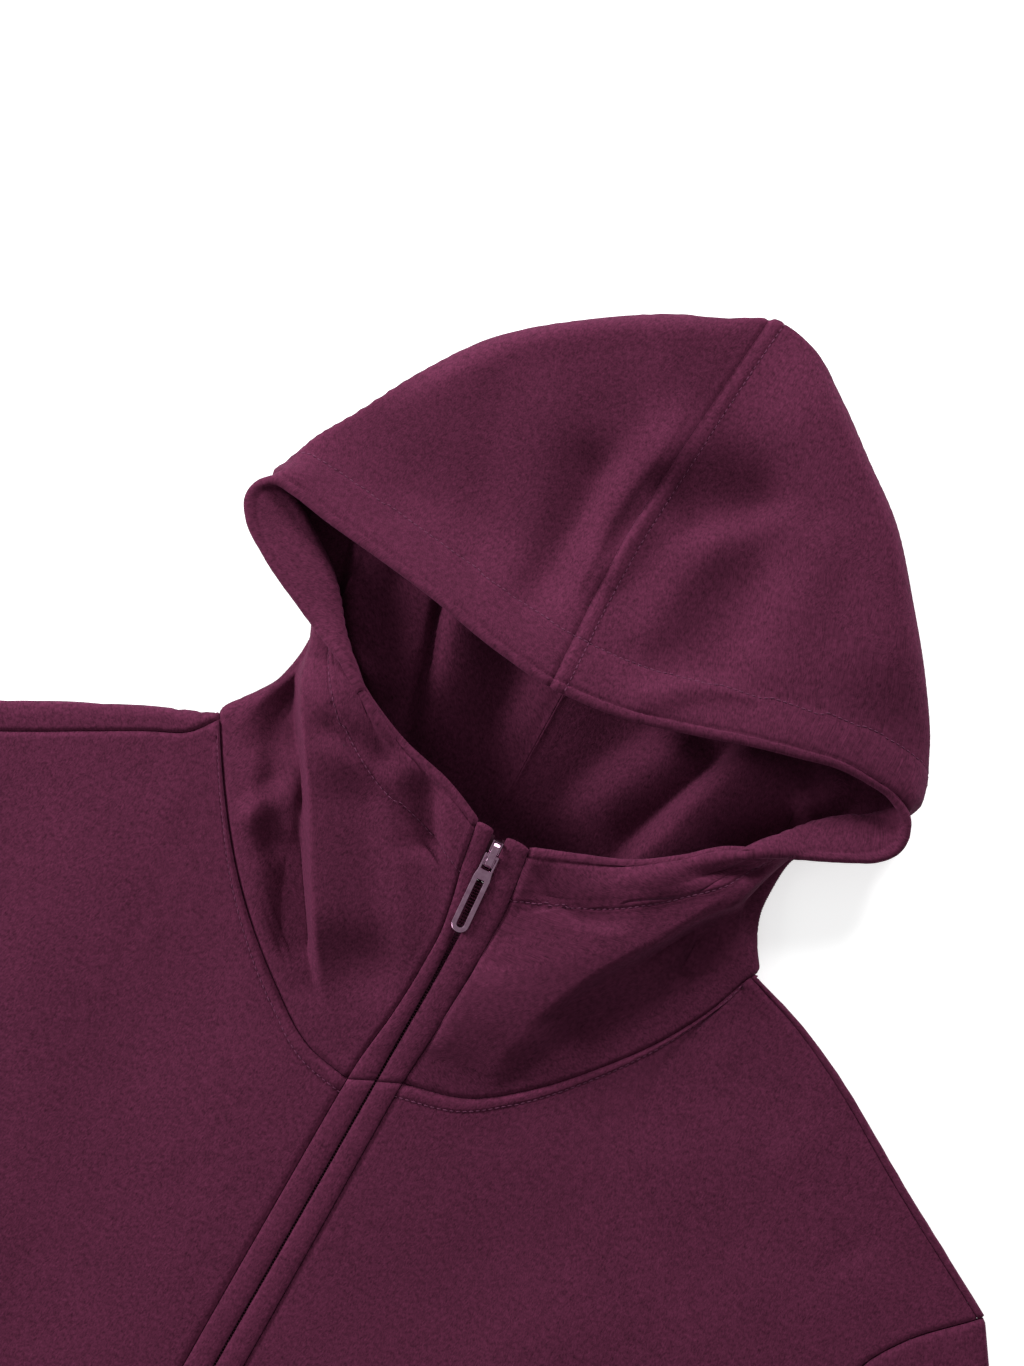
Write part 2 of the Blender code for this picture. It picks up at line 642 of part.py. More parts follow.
def back_lines(b):
    """The back's top edge and the three lines below it, for shares of its width.

    Along the shoulders they run over the fold to the seam on the front. Along the neck they
    lie flat, a few millimetres apart.
    """
    b = np.asarray(b, float)
    width = NECK_CORNER_BACK
    neck_at = NECK_TURN + (1 - 2 * NECK_TURN) * np.clip((b - width) / (1 - 2 * width), 0, 1)
    left_at = np.clip(1 - b / width, 0, 1)
    right_at = np.clip((b - 1 + width) / width, 0, 1)
    seam = ring(NECK_SEAM, neck_at)
    seam = np.where((b < width)[:, None], shoulder_seam("left", left_at), seam)
    seam = np.where((b > 1 - width)[:, None], shoulder_seam("right", right_at), seam)
    fold_left = line_at([(x, y, FOLD_Z) for x, y in SHOULDER_FOLD["left"]], left_at)
    fold_right = line_at([(x, y, FOLD_Z) for x, y in SHOULDER_FOLD["right"]], right_at)
    fold = np.where((b < 0.5)[:, None], fold_left, fold_right)
    fall = np.array([[BACK_FALL[0], BACK_FALL[1], 0.0]]) * np.where(b < 0.5, 1.0, -1.0)[:, None]
    fall[:, 1] = -abs(fall[:, 1])
    at_neck = step_up(neck_at, 0.235, 0.262) * step_up(-neck_at, -0.765, -0.738)
    below = np.array([0.0, -1.0, 0.0])
    turned = (1 - at_neck)[:, None]
    floor = (fold + fall) * turned + (seam + 9.0 * below) * (1 - turned)
    floor[:, 2] = BACK_Z
    apex = fold * turned + (seam + 6.0 * below) * (1 - turned)
    over = (fold + 0.4 * (seam - fold)) * turned + (seam + 3.0 * below) * (1 - turned)
    over[:, 2] = (OVER_Z - 0.2) * turned[:, 0] + seam[:, 2] * (1 - turned[:, 0])
    return floor, apex, over, seam


def back_surface(b, v):
    """The middle of the back's cloth: b from left to right, v from hem (0) over the fold (1)."""
    b, v = np.asarray(b, float), np.asarray(v, float)
    floor_end, _, _, _ = back_lines(np.array([0.0, 1.0]))

    def hem(at):
        corners = [side_line(side, floor_end[i], np.array([0.0]), BACK_Z)[0] for i, side in enumerate(SIDES)]
        return corners[0] * (1 - at[:, None]) + corners[1] * at[:, None]

    def left_edge(at):
        return side_line("left", floor_end[0], at, BACK_Z)

    def right_edge(at):
        return side_line("right", floor_end[1], at, BACK_Z)

    def top(at):
        return back_lines(at)[0]

    flat = stretched(hem, top, left_edge, right_edge, b, np.clip(v / FLAT_SHARE, 0, 1))
    lines = np.stack(back_lines(b))
    before = stretched(hem, top, left_edge, right_edge, b, np.array([0.985]))[:, 0]
    lines = np.concatenate([before[None], lines])
    knots = np.array([-0.35, 0.0, 0.35, 0.6, 1.0])
    turned = smooth(knots, lines, (v - FLAT_SHARE) / (1 - FLAT_SHARE)).transpose(1, 0, 2)
    return np.where((v > FLAT_SHARE)[None, :, None], turned, flat)


def grid_normals(points, flip):
    """Unit normals of a grid that is closed in its first direction."""
    across = np.roll(points, -1, axis=0) - np.roll(points, 1, axis=0)
    normal = np.cross(across, np.gradient(points, axis=1))
    normal /= np.linalg.norm(normal, axis=-1, keepdims=True)
    return -normal if flip else normal


def stadium(outer, inner, top, bottom, at):
    """A flat loop with round ends in a plane through two points, from its outer end round."""
    radius = (top - bottom) / 2
    way = np.array(inner) - np.array(outer)
    length = np.linalg.norm(way) - 2 * radius
    way = way / np.linalg.norm(way)
    quarter = math.pi * radius / 2
    half = length + 2 * quarter
    run = np.where(at <= 0.5, at * 2, 2 - at * 2) * half
    first, last = np.clip(run / quarter, 0, 1), np.clip((run - quarter - length) / quarter, 0, 1)
    forward = radius * (1 - np.cos(first * math.pi / 2)) + np.clip(run - quarter, 0, length)
    forward = forward + radius * np.sin(last * math.pi / 2)
    rise = radius * np.sin(first * math.pi / 2) - radius * (1 - np.cos(last * math.pi / 2))
    rise = rise * np.where(at <= 0.5, 1, -1) + (top + bottom) / 2
    plan = np.array(outer) + forward[:, None] * way
    return np.concatenate([plan, rise[:, None]], axis=1)


def neck_normals(stations_round):
    """The hood's own normals along the neck seam, which the body's cloth shares there."""
    return surface_normals(hood_surface, stations_round, np.array([0.0]), flip=True)[:, 0]


def make_sleeve(side, front_edge, back_edge, cloth):
    """A tube from the armhole to the cuff. Its first loop is the armhole's own line."""
    outward = -1.0 if side == "left" else 1.0
    under = (front_edge[0] + back_edge[0]) / 2 + np.array([UNDER_OUT[0] * outward, UNDER_OUT[1], 0.0])
    loop = np.concatenate([front_edge[::-1], [under], back_edge[:-1]])
    outer_fold = len(front_edge) + 1 + int(np.argmin(abs(back_edge[:-1, 2] - FOLD_Z)))
    loop = np.roll(loop, -outer_fold, axis=0)
    turn = len(loop) - outer_fold + len(front_edge)
    closed = np.concatenate([loop, loop[:1]])
    run = np.concatenate([by_distance(closed[: turn + 1]) / 2, 0.5 + by_distance(closed[turn:])[1:-1] / 2])
    cuff = stadium(*CUFF[side], SLEEVE_LOFT, BACK_Z, run)
    along = np.concatenate([[0.0, 0.02], np.linspace(0.1, 0.9, 9), [0.951, 0.958, 1.0]])[None, :, None]
    middle = loop[:, None] * (1 - along) + cuff[:, None] * along
    normals = grid_normals(middle, flip=side == "left")
    turned = hem_extra(middle, HEM_DEPTH, along_axis_end=True)
    apart = np.linalg.norm(middle[:, 0, :2] - under[:2], axis=1)
    by = SEAM_GAP + UNDER_GAP * np.exp(-((apart / UNDER_REACH) ** 2))
    middle = pulled_in(middle, ("v0",), by[:, None])
    wall(f"sleeve_{side}", middle, normals, CLOTH / 2, CLOTH / 2 + turned, cloth, closed=True)


def rows_up(under, upper):
    """Rows of a body panel: close at the hem, and close again just above the underarm."""
    lower = np.concatenate([[0.0, 0.022, 0.043, 0.052], np.linspace(0.12, under, 4)])
    return np.concatenate([lower, under + (1 - under) * np.array(upper)]), len(lower) - 1


def make_body(cloth):
    """The back, the two fronts that lie on it, and the sleeves."""
    turn = HALF_STATIONS <= NECK_TURN
    on_neck = HALF_STATIONS[turn] / NECK_TURN * NECK_CORNER
    front_edges, back_edges = {}, {}
    for side in SIDES:
        surface = front_surface(side)
        under = underarm_share(side, np.array([*SHOULDER_SEAM[side][-1], OVER_Z]))
        across = np.concatenate([on_neck, np.linspace(NECK_CORNER, 1, 7)[1:]])
        up_at, under_row = rows_up(under, (0.02, 0.06, 0.15, 0.28, 0.42, 0.56, 0.7, 0.82, 0.92, 1.0))
        middle = surface(across, up_at)
        normals = surface_normals(surface, across, up_at, flip=side == "left")
        turned = hem_extra(middle, HEM_DEPTH, along_axis_end=False)
        shared = HALF_STATIONS[turn] if side == "left" else 1 - HALF_STATIONS[turn]
        normals[: len(shared), -1] = neck_normals(shared)
        front_edges[side] = middle[-1, under_row:]
        middle = pulled_in(middle, ("u0", "u1", "v1"))
        wall(f"front_{side}", middle, normals, CLOTH / 2, CLOTH / 2 + turned, cloth)

    half_neck = (HALF_STATIONS[HALF_STATIONS >= NECK_TURN] - NECK_TURN) / (1 - 2 * NECK_TURN)
    half_neck = NECK_CORNER_BACK + (1 - 2 * NECK_CORNER_BACK) * half_neck
    half = np.concatenate([np.linspace(0, NECK_CORNER_BACK, 7)[:-1], half_neck])
    across = np.concatenate([half, 1 - half[-2::-1]])
    under = underarm_share("left", back_lines(np.array([0.0]))[0][0])
    up_at, under_row = rows_up(under, (0.02, 0.06, 0.18, 0.38, 0.58, 0.78, 0.92, 1.0))
    up_at = np.concatenate([FLAT_SHARE * up_at, np.linspace(FLAT_SHARE, 1.0, 8)[1:]])
    middle = back_surface(across, up_at)
    normals = surface_normals(back_surface, across, up_at, flip=True)
    turned = hem_extra(middle, HEM_DEPTH, along_axis_end=False)
    back_half = HALF_STATIONS[HALF_STATIONS >= NECK_TURN]
    shared = np.concatenate([back_half, 1 - back_half[-2::-1]])
    normals[6 : 6 + len(shared), -1] = neck_normals(shared)
    back_edges["left"], back_edges["right"] = middle[0, under_row:], middle[-1, under_row:]
    middle = pulled_in(middle, ("u0", "u1", "v1"))
    wall("back", middle, normals, CLOTH / 2, CLOTH / 2 + turned, cloth)
    for side in SIDES:
        make_sleeve(side, front_edges[side], back_edges[side], cloth)


def strip_surface(side, bottom, top, shift_in, shift_z, edge):
    """A strip beside the zip: u from its outer seam to the zip, v up between two y lines.

    bottom and top are y at the outer seam and at the zip. edge is the strip's distance from
    the zip's middle, as a share of the gap and a fixed part.
    """
    column = 1 if side == "left" else 3
    way = 1.0 if side == "left" else -1.0

    def surface(u, v):
        u, v = np.asarray(u, float)[:, None], np.asarray(v, float)[None, :]
        low = bottom[0] + (bottom[1] - bottom[0]) * u
        high = top[0] + (top[1] - top[0]) * u
        y = low + (high - low) * v
        found = table_line(PLACKET, [column, 2, 4, 5], y.ravel()).reshape(*y.shape, 4)
        outer = found[..., 0] + way * shift_in
        inner = found[..., 1] - way * (found[..., 3] * edge[0] + edge[1])
        return np.stack([outer + (inner - outer) * u, y, found[..., 2] + shift_z], axis=-1)

    return surface


def make_zip(cloth, tape):
    """The raised strips that cover the zip, each in a body and a collar length, and the tape."""
    cuts = {"left": NECK_AT_ZIP[:2], "right": NECK_AT_ZIP[:0:-1]}
    across = np.linspace(0, 1, 5)
    crown = PLACKET_THICK / 2 * (1 - 0.3 * (2 * across[:, None] - 1) ** 4)
    lift = (PLACKET_THICK - CLOTH) / 2
    for side in SIDES:
        flip = side == "left"
        for part, bottom, top, rows in (
            ("body", (HEM_Y, HEM_Y), cuts[side], 15),
            ("collar", cuts[side], (COLLAR_TOP, COLLAR_TOP), 13),
        ):
            surface = strip_surface(side, bottom, top, 0.0, lift, (0.5, 0.0))
            up_at = np.linspace(0, 1, rows)
            middle = surface(across, up_at)
            normals = surface_normals(surface, across, up_at, flip=not flip)
            middle = pulled_in(middle, ("u0", "v1") if part == "body" else ("u0", "v0"))
            wall(f"placket_{part}_{side}", middle, normals, crown, PLACKET_THICK / 2, cloth)
        down = -CLOTH / 2 - SEAM_GAP - TAPE_THICK / 2
        ends = (HEM_Y + BOX_HEIGHT + 0.5,) * 2, (COLLAR_TOP - 1,) * 2
        surface = strip_surface(side, *ends, 1.0, down, (0.0, TEETH_HALF))
        up_at = np.concatenate([np.linspace(0, 0.82, 20)[:-1], np.linspace(0.82, 1, 14)])
        middle = surface(np.array([0.0, 1.0]), up_at)
        normals = surface_normals(surface, np.array([0.0, 1.0]), up_at, flip=not flip)
        wall(f"zip_tape_{side}", middle, normals, TAPE_THICK / 2, TAPE_THICK / 2, tape)


def zip_frame():
    """The turn that lays a piece along the top of the zip."""
    lean = Matrix.Rotation(math.radians(ZIP_LEAN), 4, "Z")
    climb = Matrix.Rotation(math.radians(ZIP_CLIMB), 4, "X")
    return lean @ climb


def arc(centre, radius, first, last, steps):
    """Points of an arc in a plane, between two angles in degrees."""
    angles = np.radians(np.linspace(first, last, steps))
    return [(centre[0] + radius * math.cos(a), centre[1] + radius * math.sin(a)) for a in angles]


def cut_plate(name, outline, holes, thick, soften, material):
    """A flat plate with holes, centred on its own plane, with softened edges."""
    frame = bmesh.new()
    for loop in (outline, *holes):
        corners = [frame.verts.new((x * MM, y * MM, -thick / 2 * MM)) for x, y in loop]
        for first, second in zip(corners, corners[1:] + corners[:1]):
            frame.edges.new((first, second))
    bmesh.ops.triangle_fill(frame, edges=frame.edges[:], use_beauty=True, use_dissolve=False)
    grown = bmesh.ops.extrude_face_region(frame, geom=frame.faces[:])
    moved = [item for item in grown["geom"] if isinstance(item, bmesh.types.BMVert)]
    bmesh.ops.translate(frame, verts=moved, vec=(0, 0, thick * MM))
    bmesh.ops.recalc_face_normals(frame, faces=frame.faces[:])
    mesh = bpy.data.meshes.new(name)
    frame.to_mesh(mesh)
    frame.free()
    mesh.materials.append(material)
    piece = bpy.data.objects.new(name, mesh)
    bpy.context.collection.objects.link(piece)
    bevel = piece.modifiers.new("softened edges", "BEVEL")
    bevel.width = soften * MM
    bevel.segments = 2
    bevel.limit_method = "ANGLE"
    bevel.angle_limit = math.radians(50)
    return piece


def make_slider(metal):
    """The slider's crown, a loop that stands across the zip, on the plate over the teeth."""
    crown, plate = CROWN, SLIDER_PLATE
    middle = (crown["upper"] + crown["lower"]) / 2
    reach = (crown["upper"] - crown["lower"]) / 2
    floor = plate["top"] - plate["thick"] * 0.5

    def arch(reach, top, base):
        shares = np.linspace(0, 1, 13)
        across = [middle + reach * math.cos(math.pi * f) for f in shares]
        rise = [base + (top - base) * math.sin(math.pi * f) ** 0.55 for f in shares]
        return list(zip(across, rise))

    outline = arch(reach, crown["top"], floor)
    hole = arch(reach - crown["thick"], crown["top"] - crown["thick"], plate["top"] + 0.1)
    slider = cut_plate("zip_slider", outline, [hole], crown["width"], 0.3, metal)
    width, depth = plate["width"] / 2, plate["thick"]
    low, high = plate["lower"], plate["upper"]
    base = bmesh.new()
    corners = [(-width, low), (width, low), (width, high), (-width, high)]
    ring_low = [base.verts.new((x * MM, y * MM, (plate["top"] - depth) * MM)) for x, y in corners]
    ring_high = [base.verts.new((x * MM, y * MM, plate["top"] * MM)) for x, y in corners]
    base.faces.new(ring_low[::-1])
    base.faces.new(ring_high)
    for i in range(4):
        k = (i + 1) % 4
        base.faces.new((ring_low[i], ring_low[k], ring_high[k], ring_high[i]))
    mesh = bpy.data.meshes.new("slider_plate")
    base.to_mesh(mesh)
    base.free()
    guide = bpy.data.objects.new("slider_plate", mesh)
    bpy.context.collection.objects.link(guide)
    guide.hide_render = True
    guide.display_type = "WIRE"
    # The crown's profile is drawn in its own x and y, so it is turned to stand along the zip.
    stand = Matrix(((0, 0, 1, 0), (1, 0, 0, 0), (0, 1, 0, 0), (0, 0, 0, 1)))
    slider.data.transform(stand)
    join = slider.modifiers.new("plate", "BOOLEAN")
    join.operation = "UNION"
    join.object = guide
    place = Matrix.Translation(at_zip(HINGE)) @ zip_frame()
    slider.matrix_world = place
    guide.matrix_world = place


def at_zip(point):
    """A point of the garment's plan in the part's own frame."""
    return Vector(((point[0] + CENTRE_SHIFT[0]) * MM, (point[1] + CENTRE_SHIFT[1]) * MM, point[2] * MM))


def make_pull_tab(metal):
    """The pull: an eye round the slider's bar, a cross plate, and a long slotted loop."""
    tab = TAB
    neck, half, slot = tab["neck"] / 2, tab["width"] / 2, tab["slot"] / 2
    bend = tab["end"] + half
    outline = [(-neck, tab["bar"]), (-neck, tab["eye"]), (-half, tab["plate"] + 0.6)]
    outline += arc((0, bend), half, 180, 360, 13)
    outline += [(half, tab["plate"] + 0.6), (neck, tab["eye"]), (neck, tab["bar"])]
    inner = neck - 0.9
    eye = [(-inner, -tab["bar"]), (inner, -tab["bar"]), (inner, tab["eye"]), (-inner, tab["eye"])]
    long_slot = arc((0, bend), slot, 180, 360, 9) + [(slot, tab["plate"]), (-slot, tab["plate"])]
    pull = cut_plate("pull_tab", outline, [eye, long_slot], tab["thick"], 0.32, metal)
    pull.matrix_world = Matrix.Translation(at_zip(HINGE)) @ zip_frame()


def make_zip_box(tape):
    """The block at the foot of the zip that holds both ends together."""
    x, z = table_line(PLACKET, [2, 4], [HEM_Y + BOX_HEIGHT / 2])[0]
    half = 3.4
    outline = [(-half, 0), (half, 0), (half, BOX_HEIGHT), (-half, BOX_HEIGHT)]
    box = cut_plate("zip_box", outline, [], 1.1, 0.2, tape)
    box.location = at_zip((x, HEM_Y + 0.2, z - CLOTH / 2 - SEAM_GAP - 0.55))


def main():
    for piece in list(bpy.data.objects):
        bpy.data.objects.remove(piece, do_unlink=True)
    cloth = make_material("cloth", CLOTH_COLOUR, 0.85)
    tape = make_material("zip_tape", TAPE_COLOUR, 0.8)
    metal = make_material("tinted_metal", METAL_COLOUR, 0.35, 1.0)
    make_hood(cloth)
    make_body(cloth)
    make_zip(cloth, tape)
    make_zip_box(tape)
    make_slider(metal)
    make_pull_tab(metal)


main()
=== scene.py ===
# %% [markdown]
# # Dressing a zip-up hoodie that lies on its back
#
# The hoodie is cut from a thick, soft double knit. It lies flat, zipped up, with the mouth of its
# hood held open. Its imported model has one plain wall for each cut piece. This lesson makes the
# finished cloth of each piece in the same place, with its folds, turned hems, seams and stitches,
# and then the zip's teeth. The frame comes first, because every piece has to sit where its plain
# wall sits.

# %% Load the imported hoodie
import math

import bpy
import numpy as np
from mathutils import Matrix, Vector


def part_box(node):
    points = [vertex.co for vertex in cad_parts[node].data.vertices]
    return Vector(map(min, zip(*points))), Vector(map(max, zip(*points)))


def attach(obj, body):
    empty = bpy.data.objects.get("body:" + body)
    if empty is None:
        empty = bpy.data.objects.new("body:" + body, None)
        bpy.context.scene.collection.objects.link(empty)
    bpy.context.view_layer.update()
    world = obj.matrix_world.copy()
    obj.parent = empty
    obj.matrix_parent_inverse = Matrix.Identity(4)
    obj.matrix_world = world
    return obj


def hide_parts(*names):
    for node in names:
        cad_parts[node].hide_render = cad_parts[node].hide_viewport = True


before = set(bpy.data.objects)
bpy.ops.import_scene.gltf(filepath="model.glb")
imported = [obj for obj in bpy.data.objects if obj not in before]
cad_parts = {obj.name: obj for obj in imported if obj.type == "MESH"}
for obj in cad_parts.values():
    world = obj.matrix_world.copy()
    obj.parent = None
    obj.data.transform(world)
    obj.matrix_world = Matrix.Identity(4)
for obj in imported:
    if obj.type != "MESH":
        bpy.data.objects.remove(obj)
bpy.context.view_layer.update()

# %% [markdown]
# ## Where lengths are counted from
#
# A maker measures a hoodie from the point where the zip crosses the neck seam. The tables below
# do the same, in millimetres: x to the right, y up towards the hood, z up off the surface. One
# helper turns such points into the frame's metres.

# %% Lengths and sizes
MM = 0.001
ZIP_AT_NECK = (8.0, 84.5)  # the zip and neck crossing, from the frame's origin
CLOTH = 1.8  # one layer of brushed double knit
HEM_LAYER = 1.4  # the turned layer inside a hem, pressed
HEM_DEPTH = 22.0
BACK_Z = CLOTH / 2  # middle of the layer that lies on the surface
SIDES = ("left", "right")


def to_frame(points):
    """Points in millimetres from the zip and neck crossing, as points of the frame in metres."""
    points = np.array(points, float)
    points[..., 0] += ZIP_AT_NECK[0]
    points[..., 1] += ZIP_AT_NECK[1]
    return points * MM


strip_low, strip_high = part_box("placket_body_left")
print("left strip ends at the neck seam, y =", round(strip_high.y / MM - ZIP_AT_NECK[1], 1), "mm")

# %% [markdown]
# ## Floor, light and camera
#
# A garment on a white table is seen from straight above, turned a little clockwise. A long lens
# two metres up keeps the perspective of such a view. Two square lamps stand to the upper left and
# the upper right of the view, low enough to shade the slopes of the folds. A weak one at the lower
# left and the pale room fill the shadows.

# %% Camera
VIEW_CENTRE = (-28.9, 167.3)
VIEW_HEIGHT = 2.0
VIEW_LENGTH = 0.5464  # length of the floor that the view's height takes in
VIEW_TURN = math.radians(28.5)
SENSOR = 24.0  # height of the sensor, in millimetres
aim = Vector((*to_frame([(*VIEW_CENTRE, 0.0)])[0, :2], 0.0))

lens = bpy.data.cameras.new("view")
lens.sensor_fit = "VERTICAL"
lens.sensor_height = SENSOR
lens.lens = SENSOR * VIEW_HEIGHT / VIEW_LENGTH
camera = bpy.data.objects.new("view", lens)
camera.location = (*aim.xy, VIEW_HEIGHT)
camera.rotation_euler = (0.0, 0.0, VIEW_TURN)
bpy.context.scene.collection.objects.link(camera)
bpy.context.scene.camera = camera
bpy.context.scene.view_settings.view_transform = "Standard"
print("camera:", VIEW_HEIGHT, "m up, lens", round(lens.lens, 1), "mm")


# %% Lamps and floor
LAMPS = (  # direction in the view in degrees (0 is right), height, distance, power in watts
    ("left_lamp", 154.0, 0.52, 1.55, 36.0),
    ("low_lamp", 212.0, 0.76, 1.5, 4.0),
    ("top_lamp", 62.0, 0.70, 1.5, 31.0),
)
LAMP_SIZE = 0.45
ROOM_LIGHT = 0.32
FLOOR_HALF = 3.0
FLOOR_Z = -0.0004  # just under the cloth, so that the two don't share a plane
WHITE = (1.0, 1.0, 1.0, 1.0)

for name, direction, height, distance, power in LAMPS:
    light = bpy.data.lights.new(name, "AREA")
    light.size = LAMP_SIZE
    light.energy = power
    lamp = bpy.data.objects.new(name, light)
    turn = math.radians(direction) + VIEW_TURN
    lamp.location = aim + Vector((math.cos(turn) * distance, math.sin(turn) * distance, height))
    lamp.rotation_euler = (aim - lamp.location).to_track_quat("-Z", "Y").to_euler()
    bpy.context.scene.collection.objects.link(lamp)

room = bpy.data.worlds.new("pale_room")
room.use_nodes = True
room.node_tree.nodes["Background"].inputs["Color"].default_value = WHITE
room.node_tree.nodes["Background"].inputs["Strength"].default_value = ROOM_LIGHT
bpy.context.scene.world = room

floor_mesh = bpy.data.meshes.new("floor")
corners = [(x * FLOOR_HALF, y * FLOOR_HALF, FLOOR_Z) for x, y in ((-1, -1), (1, -1), (1, 1), (-1, 1))]
floor_mesh.from_pydata(corners, [], [(0, 1, 2, 3)])
floor = bpy.data.objects.new("floor", floor_mesh)
bpy.context.scene.collection.objects.link(floor)
paper = bpy.data.materials.new("white_table")
paper.use_nodes = True
shader = paper.node_tree.nodes["Principled BSDF"]
shader.inputs["Base Color"].default_value = (0.80, 0.80, 0.80, 1.0)
shader.inputs["Roughness"].default_value = 0.9
shader.inputs["Emission Color"].default_value = WHITE
shader.inputs["Emission Strength"].default_value = 0.62
floor_mesh.materials.append(paper)
print("lamps:", [name for name, *_ in LAMPS])

# %% [markdown]
# ## Lines through a few rows
#
# Each piece follows lines that a pattern cutter would mark: the neck seam, the opening's edge, the
# side of the body. A line is a short table, and a cubic runs through its rows. One kind of cubic
# never overshoots its rows, so flat stretches stay flat. The other bends evenly, for outlines.


# %% Cubics
def cubic(knots, values, slope, at):
    """Values of a cubic with the slopes given at its knots."""
    row = np.clip(np.searchsorted(knots, at, side="right") - 1, 0, len(knots) - 2)
    columns = (slice(None),) + (None,) * (values.ndim - 1)
    width = np.diff(knots)[row][columns]
    f = (at - knots[row])[columns] / width
    start = values[row] * (1 - f) ** 2 * (1 + 2 * f) + slope[row] * width * f * (1 - f) ** 2
    end = values[row + 1] * f**2 * (3 - 2 * f) - slope[row + 1] * width * f**2 * (1 - f)
    return start + end


def held_slopes(rate):
    """Slopes that never make a cubic overshoot its rows."""
    before, after = rate[:-1], rate[1:]
    same_way = before * after > 0
    safe_before, safe_after = np.where(same_way, before, 1.0), np.where(same_way, after, 1.0)
    middle = np.where(same_way, 2.0 / (1.0 / safe_before + 1.0 / safe_after), 0.0)
    return np.concatenate([rate[:1], middle, rate[-1:]])


def smooth(knots, values, at):
    """The cubic that never overshoots its rows."""
    knots, values = np.asarray(knots, float), np.asarray(values, float)
    at = np.clip(np.asarray(at, float), knots[0], knots[-1])
    rate = np.diff(values, axis=0) / np.diff(knots)[:, None]
    return cubic(knots, values, held_slopes(rate), at)


def rounded(knots, values, at):
    """The cubic that bends evenly."""
    knots, values = np.asarray(knots, float), np.asarray(values, float)
    at = np.clip(np.asarray(at, float), knots[0], knots[-1])
    step = np.diff(knots)[:, None]
    rate = np.diff(values, axis=0) / step
    inner = (rate[:-1] * step[1:] + rate[1:] * step[:-1]) / (step[1:] + step[:-1])
    return cubic(knots, values, np.concatenate([rate[:1], inner, rate[-1:]]), at)


def by_distance(points):
    """How far along a line each of its points lies, from 0 to 1."""
    run = np.concatenate([[0.0], np.cumsum(np.linalg.norm(np.diff(points, axis=0), axis=1))])
    return run / run[-1]


def line_at(points, at):
    """Points of a plain line at shares of its length."""
    points = np.asarray(points, float)
    return smooth(by_distance(points), points, at)


def table_line(rows, columns, at):
    """Some columns of a table whose first column is y, at the y values given."""
    rows = np.array(rows, float)
    return smooth(rows[:, 0], rows[:, columns], at)


def step_up(x, low, high):
    """0 below low, 1 above high, and a soft rise between."""
    f = np.clip((x - low) / (high - low), 0, 1)
    return f * f * (3 - 2 * f)


def within(x, rise, fall):
    """1 between a soft rise and a soft fall, each given by where it starts and ends."""
    return step_up(x, *rise) * step_up(-x, -fall[1], -fall[0])


# %% [markdown]
# ## The lines of the hood
#
# The hood and its stand-up collar are one surface, open at the neck seam and at the face. Five
# lines run round it, from the neck seam up to the opening's edge. A row is a station round the
# hood, x, y, z. Station 0 is the left placket, 0.25 the left cheek, 0.5 the centre back and the
# middle of the brim, 0.75 the right cheek, and 1 the right placket. A row with no station takes
# one by its distance from its neighbours.

# %% Tables of the hood
NECK_SEAM = (
    (0.00, -11.2, -2.6, 7.0),
    (None, -30.8, 1.5, 7.0),
    (None, -55.5, 17.6, 6.6),
    (None, -86.9, 46.1, 6.2),
    (None, -109.4, 74.9, 6.0),
    (0.235, -124.6, 99.0, 5.9),
    (0.25, -126.2, 102.4, 3.4),
    (0.265, -123.0, 101.0, 0.9),
    (None, -104.0, 97.0, 0.9),
    (None, -60.0, 92.5, 0.9),
    (0.50, -9.0, 91.5, 0.9),
    (None, 46.0, 96.0, 0.9),
    (None, 90.0, 105.5, 0.9),
    (0.735, 109.6, 111.6, 0.9),
    (0.75, 112.6, 112.6, 3.4),
    (0.765, 110.8, 109.6, 5.9),
    (None, 103.0, 90.0, 6.0),
    (None, 93.1, 72.4, 6.0),
    (None, 75.3, 49.1, 6.2),
    (None, 55.8, 28.9, 6.6),
    (None, 34.3, 13.2, 7.0),
    (1.00, 8.8, 6.4, 7.4),
)
LOWER_LINE = (
    (0.00, -7.8, 30.0, 11.5),
    (0.10, -60.0, 50.0, 10.5),
    (0.18, -98.0, 84.0, 9.5),
    (0.22, -112.0, 112.0, 9.0),
    (0.25, -110.2, 126.0, 5.5),
    (0.262, -106.0, 138.0, 2.5),
    (0.275, -103.5, 150.0, 0.9),
    (0.31, -105.0, 184.0, 0.9),
    (0.37, -92.0, 222.0, 0.9),
    (0.44, -52.0, 268.0, 0.9),
    (0.50, -9.0, 292.0, 0.9),
    (0.56, 32.0, 270.0, 0.9),
    (0.63, 74.0, 228.0, 0.9),
    (0.69, 94.0, 190.0, 0.9),
    (0.725, 96.0, 152.0, 0.9),
    (0.738, 98.5, 139.0, 2.5),
    (0.75, 103.8, 126.6, 5.5),
    (0.78, 101.0, 113.0, 9.0),
    (0.83, 82.0, 84.0, 9.5),
    (0.91, 47.0, 52.0, 10.5),
    (1.00, 10.7, 32.0, 11.8),
)
